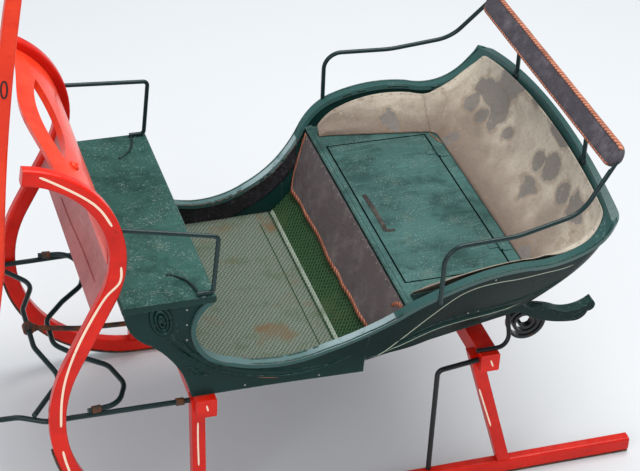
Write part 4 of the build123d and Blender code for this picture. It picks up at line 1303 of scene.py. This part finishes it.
# %% Braid and tacks of the fall
FRINGE = ((-1, 0), (-1.0, 0.5), (-0.6, 0.95), (0, 1), (0.6, 0.95), (1.0, 0.5), (1, 0))
TORN = ((9, 131), (4, 134), (2, 137), (6, 139), (12, 139))
HEM = [(r, 1) for r in range(0, 32, 6)]
HEM += [(35, c) for c in range(3, 139, 5)]
HEM += [(r, 139) for r in range(30, -1, -6)]
fall_skin = skin_of(fall)
hem = curve_through([spot_on(fall, FALL_COLUMNS, r, c) for r, c in HEM], 0.005)
make("fall_braid", [band(hem, fall_skin, wide=0.014, high=0.0036, section=FRINGE)], salmon_braid)
tacks = [dome(fall_skin, spot_on(fall, FALL_COLUMNS, 2, c), 0.0030, 0.0016, 8) for c in range(4, 138, 6)]
make("fall_tacks", tacks, nail_metal)
torn = curve_through([spot_on(fall, FALL_COLUMNS, r, c) for r, c in TORN])
make("torn_end", [band(torn, fall_skin, wide=0.013, high=0.0050, taper=0.02, section=FRINGE)], salmon_braid)

# %% [markdown]
# ## The mat
# The floor cloth is a ribbed mat, laid loose, so it is not quite flat. Its width is that of the CAD mat,
# which rays from above find station by station. A pale strip covers its rear edge where it meets the
# riser, and a dark seam crosses it in front of that.

# %% Mat
MAT = skin("floor_mat")
MAT_STEPS, MAT_MIDDLE, MAT_EDGE, MAT_THICK = 70, 60, 0.001, 0.0025
OVER_THE_MAT, ABOVE_THE_MAT = 0.7, Vector((0.15, 0, 2))
NOSING_X, NOSING_UP, SEAM_AT = -0.067, 0.016, -0.018
mat_low, mat_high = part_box("floor_mat")


def mat_half(x):
    """Half the mat's width at a station."""
    return last_hit(0.30, 0.50, lambda y: MAT.ray_cast(Vector((x, y, OVER_THE_MAT)), DOWN)[0]) - MAT_EDGE


def mat_fold(r, c, point):
    """The mat lies loose: a long ripple and a short one."""
    return 0.0009 + ripple(point, 0.12, 0.0009, 8.0) + ripple(point, 0.03, 0.0003)


mat_xs = [mat_low[X] + MAT_EDGE + (mat_high[X] - mat_low[X] - 2 * MAT_EDGE) * i / MAT_STEPS
          for i in range(MAT_STEPS + 1)]
mat_grid = [[Vector((x, mat_half(x) * (c / MAT_MIDDLE - 1), mat_low[Z])) for c in range(2 * MAT_MIDDLE + 1)]
            for x in mat_xs]
mat = sheet("ribbed_mat", mat_grid, ABOVE_THE_MAT, MAT_THICK, mat_fold, mat_green, "floor_mat")

# %% Nosing and seam of the mat
nosing_half = mat_half(mat_low[X] + 0.002) - 0.004
nosing_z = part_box("floor_board")[1][Z] + NOSING_UP
nosing_ys = (-nosing_half, -0.2, 0, 0.2, nosing_half)
nosing = curve_through([Vector((NOSING_X, y, nosing_z)) for y in nosing_ys], 0.01)
make("mat_nosing", [band(nosing, skin("seat_riser"), wide=0.014, high=0.0030)], worn_nosing)
seam = curve_through([Vector((SEAM_AT, y, mat_high[Z])) for y in (-0.36, -0.1, 0.1, 0.36)], 0.01)
make("mat_seam", [band(seam, skin_of(mat), 0.0035, 0.0006, taper=0.02, section=FLAT)], riser_green)

# %% [markdown]
# ## The footwell's lining
# Black leather lines the top of the footwell's walls, just under the entry's rim, where knees rub. A ray
# upward finds the rim's underside at each station and level rays find the wall below it. Its lower edge
# is cut in a slow wave.

# %% Footwell lining
WELL_FRONT, WELL_REAR, WELL_DEEP, WELL_WAVE = 0.335, -0.185, 0.060, 0.006
WELL_STEPS, WELL_COLUMNS, WELL_ROWS = 89, 87, 13
WELL_THICK, WELL_HALF, WELL_MIDDLE = 0.0018, 0.41, Vector((0.1, 0, 0.62))
entry = skin("entry_rims")


def under_rim(x, toward):
    """The underside of the entry's rim at a station, sought outward, or None past the rim's end."""
    y = 0.40
    while y < 0.56:
        hit = entry.ray_cast(Vector((x, toward * y, 0.50)), UP)[0]
        if hit:
            return hit
        y += 0.002
    return None


def well_fold(r, c, point):
    """Small puckers that end at the tacked upper edge."""
    return max(0.0, ripple(point, 0.04, 0.0014, 11.0) * min(1.0, 8 * (1 - r)))


for hand, toward in (("left", 1), ("right", -1)):
    wall = skin(f"footwell_side_{hand}", f"tub_side_{hand}")
    grid = [[] for _ in range(WELL_ROWS)]
    for c in range(WELL_COLUMNS):
        x = WELL_FRONT + (WELL_REAR - WELL_FRONT) * c / WELL_STEPS
        under = under_rim(x, toward)
        if under is None:
            continue
        deep = WELL_DEEP + WELL_WAVE * math.sin(9 * x)
        for r, row in enumerate(grid):
            z = under.z - 0.001 - deep * (1 - r / (WELL_ROWS - 1))
            hit = wall.ray_cast(Vector((x, toward * 0.2, z)), Vector((0, toward, 0)))[0]
            row.append(hit or (row[-1] if row else Vector((x, toward * WELL_HALF, z))))
    sheet(f"wall_leather_{hand}", grid, WELL_MIDDLE, WELL_THICK, well_fold, wall_leather, None)

# %% [markdown]
# ## The bolster
# A narrow board padded with horsehair under leather. Its faces are crowned, its ends are round, and a
# braid covers the row of tacks along its upper edge. Powers of a sine and a cosine give the crowned
# section, which shrinks over a half circle at each end.

# %% Bolster
ends_low, ends_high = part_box("bolster")
BOLSTER_MID = Vector([(a + b) / 2 for a, b in zip(ends_low, ends_high)])
BOLSTER_HALF = (ends_high[Y] - ends_low[Y]) / 2
BOLSTER_WIDE, BOLSTER_THICK, TILT_BACK = 0.072, 0.026, math.radians(52)
PAD_STEPS, PAD_SIDES, BRAID_STEPS = 120, 40, 60
face_out = Vector((math.sin(TILT_BACK), 0, math.cos(TILT_BACK)))
face_up = Vector((-math.cos(TILT_BACK), 0, math.sin(TILT_BACK)))


def crowned(value, power):
    """A sine or a cosine made fuller, with its sign kept."""
    return math.copysign(abs(value) ** power, value)


def bolster_point(along, turn, grow=1.0):
    """A point of the padded board's skin. along runs from -1 to 1, and turn goes round it."""
    y = BOLSTER_HALF * along
    spare = (BOLSTER_HALF - abs(y)) / (BOLSTER_WIDE / 2)
    shrink = math.sqrt(max(0.02, 1 - max(0.0, 1 - spare) ** 2))
    wide = crowned(math.cos(turn), 0.55) * BOLSTER_WIDE / 2 * shrink
    thick = crowned(math.sin(turn), 0.75) * BOLSTER_THICK / 2 * (0.55 + 0.45 * shrink)
    spot = BOLSTER_MID + Vector((0, y, 0)) + face_up * wide * grow + face_out * thick * grow
    return spot + face_out * ripple(spot, 0.05, 0.0016, 4.0) * (1 if math.sin(turn) > 0 else 0)


rows = []
for i in range(2 * PAD_STEPS + 1):
    even = i / PAD_STEPS - 1
    along = math.sin(math.pi / 2 * even) * 0.35 + even * 0.65
    rows.append([bolster_point(along, math.tau * k / PAD_SIDES) for k in range(PAD_SIDES)])
bolster = make("bolster_pad", [tube(rows)], bolster_leather)
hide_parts("bolster")

# %% Braid of the bolster
def pad_edge(degrees):
    """A path along the pad, this far round it and a little inside its skin."""
    places = [i / BRAID_STEPS - 1 for i in range(2, 2 * BRAID_STEPS - 1)]
    return curve_through([bolster_point(along, math.radians(degrees), 0.97) for along in places], 0.006)


pad_skin = skin_of(bolster)
braids = [band(pad_edge(32), pad_skin, wide=0.014, high=0.0032, section=FRINGE),
          band(pad_edge(152), pad_skin, wide=0.008, high=0.0026, section=FRINGE)]
make("bolster_braid", braids, salmon_braid)

# %% [markdown]
# ## The lid's pull
# An L-shaped strap is tacked beside the lid's front corner to lift it by. It is two flat bands that meet
# at the corner, and it rides on the lid, so it turns with it.

# %% Lid strap
lid_skin = skin("seat_lid")
STRAP = ((364, 195), (372, 207), (380, 220), (386, 231))
STRAP_FOOT = ((385, 231), (395, 230))
pull = [band(traced(lid_skin, STRAP), lid_skin, wide=0.016, high=0.0022, section=FLAT),
        band(traced(lid_skin, STRAP_FOOT), lid_skin, wide=0.013, high=0.0024, section=FLAT)]
make("lid_strap", pull, strap_leather, body="lid")

# %% [markdown]
# ## One frame
# The CAD and the dressed model share one frame.
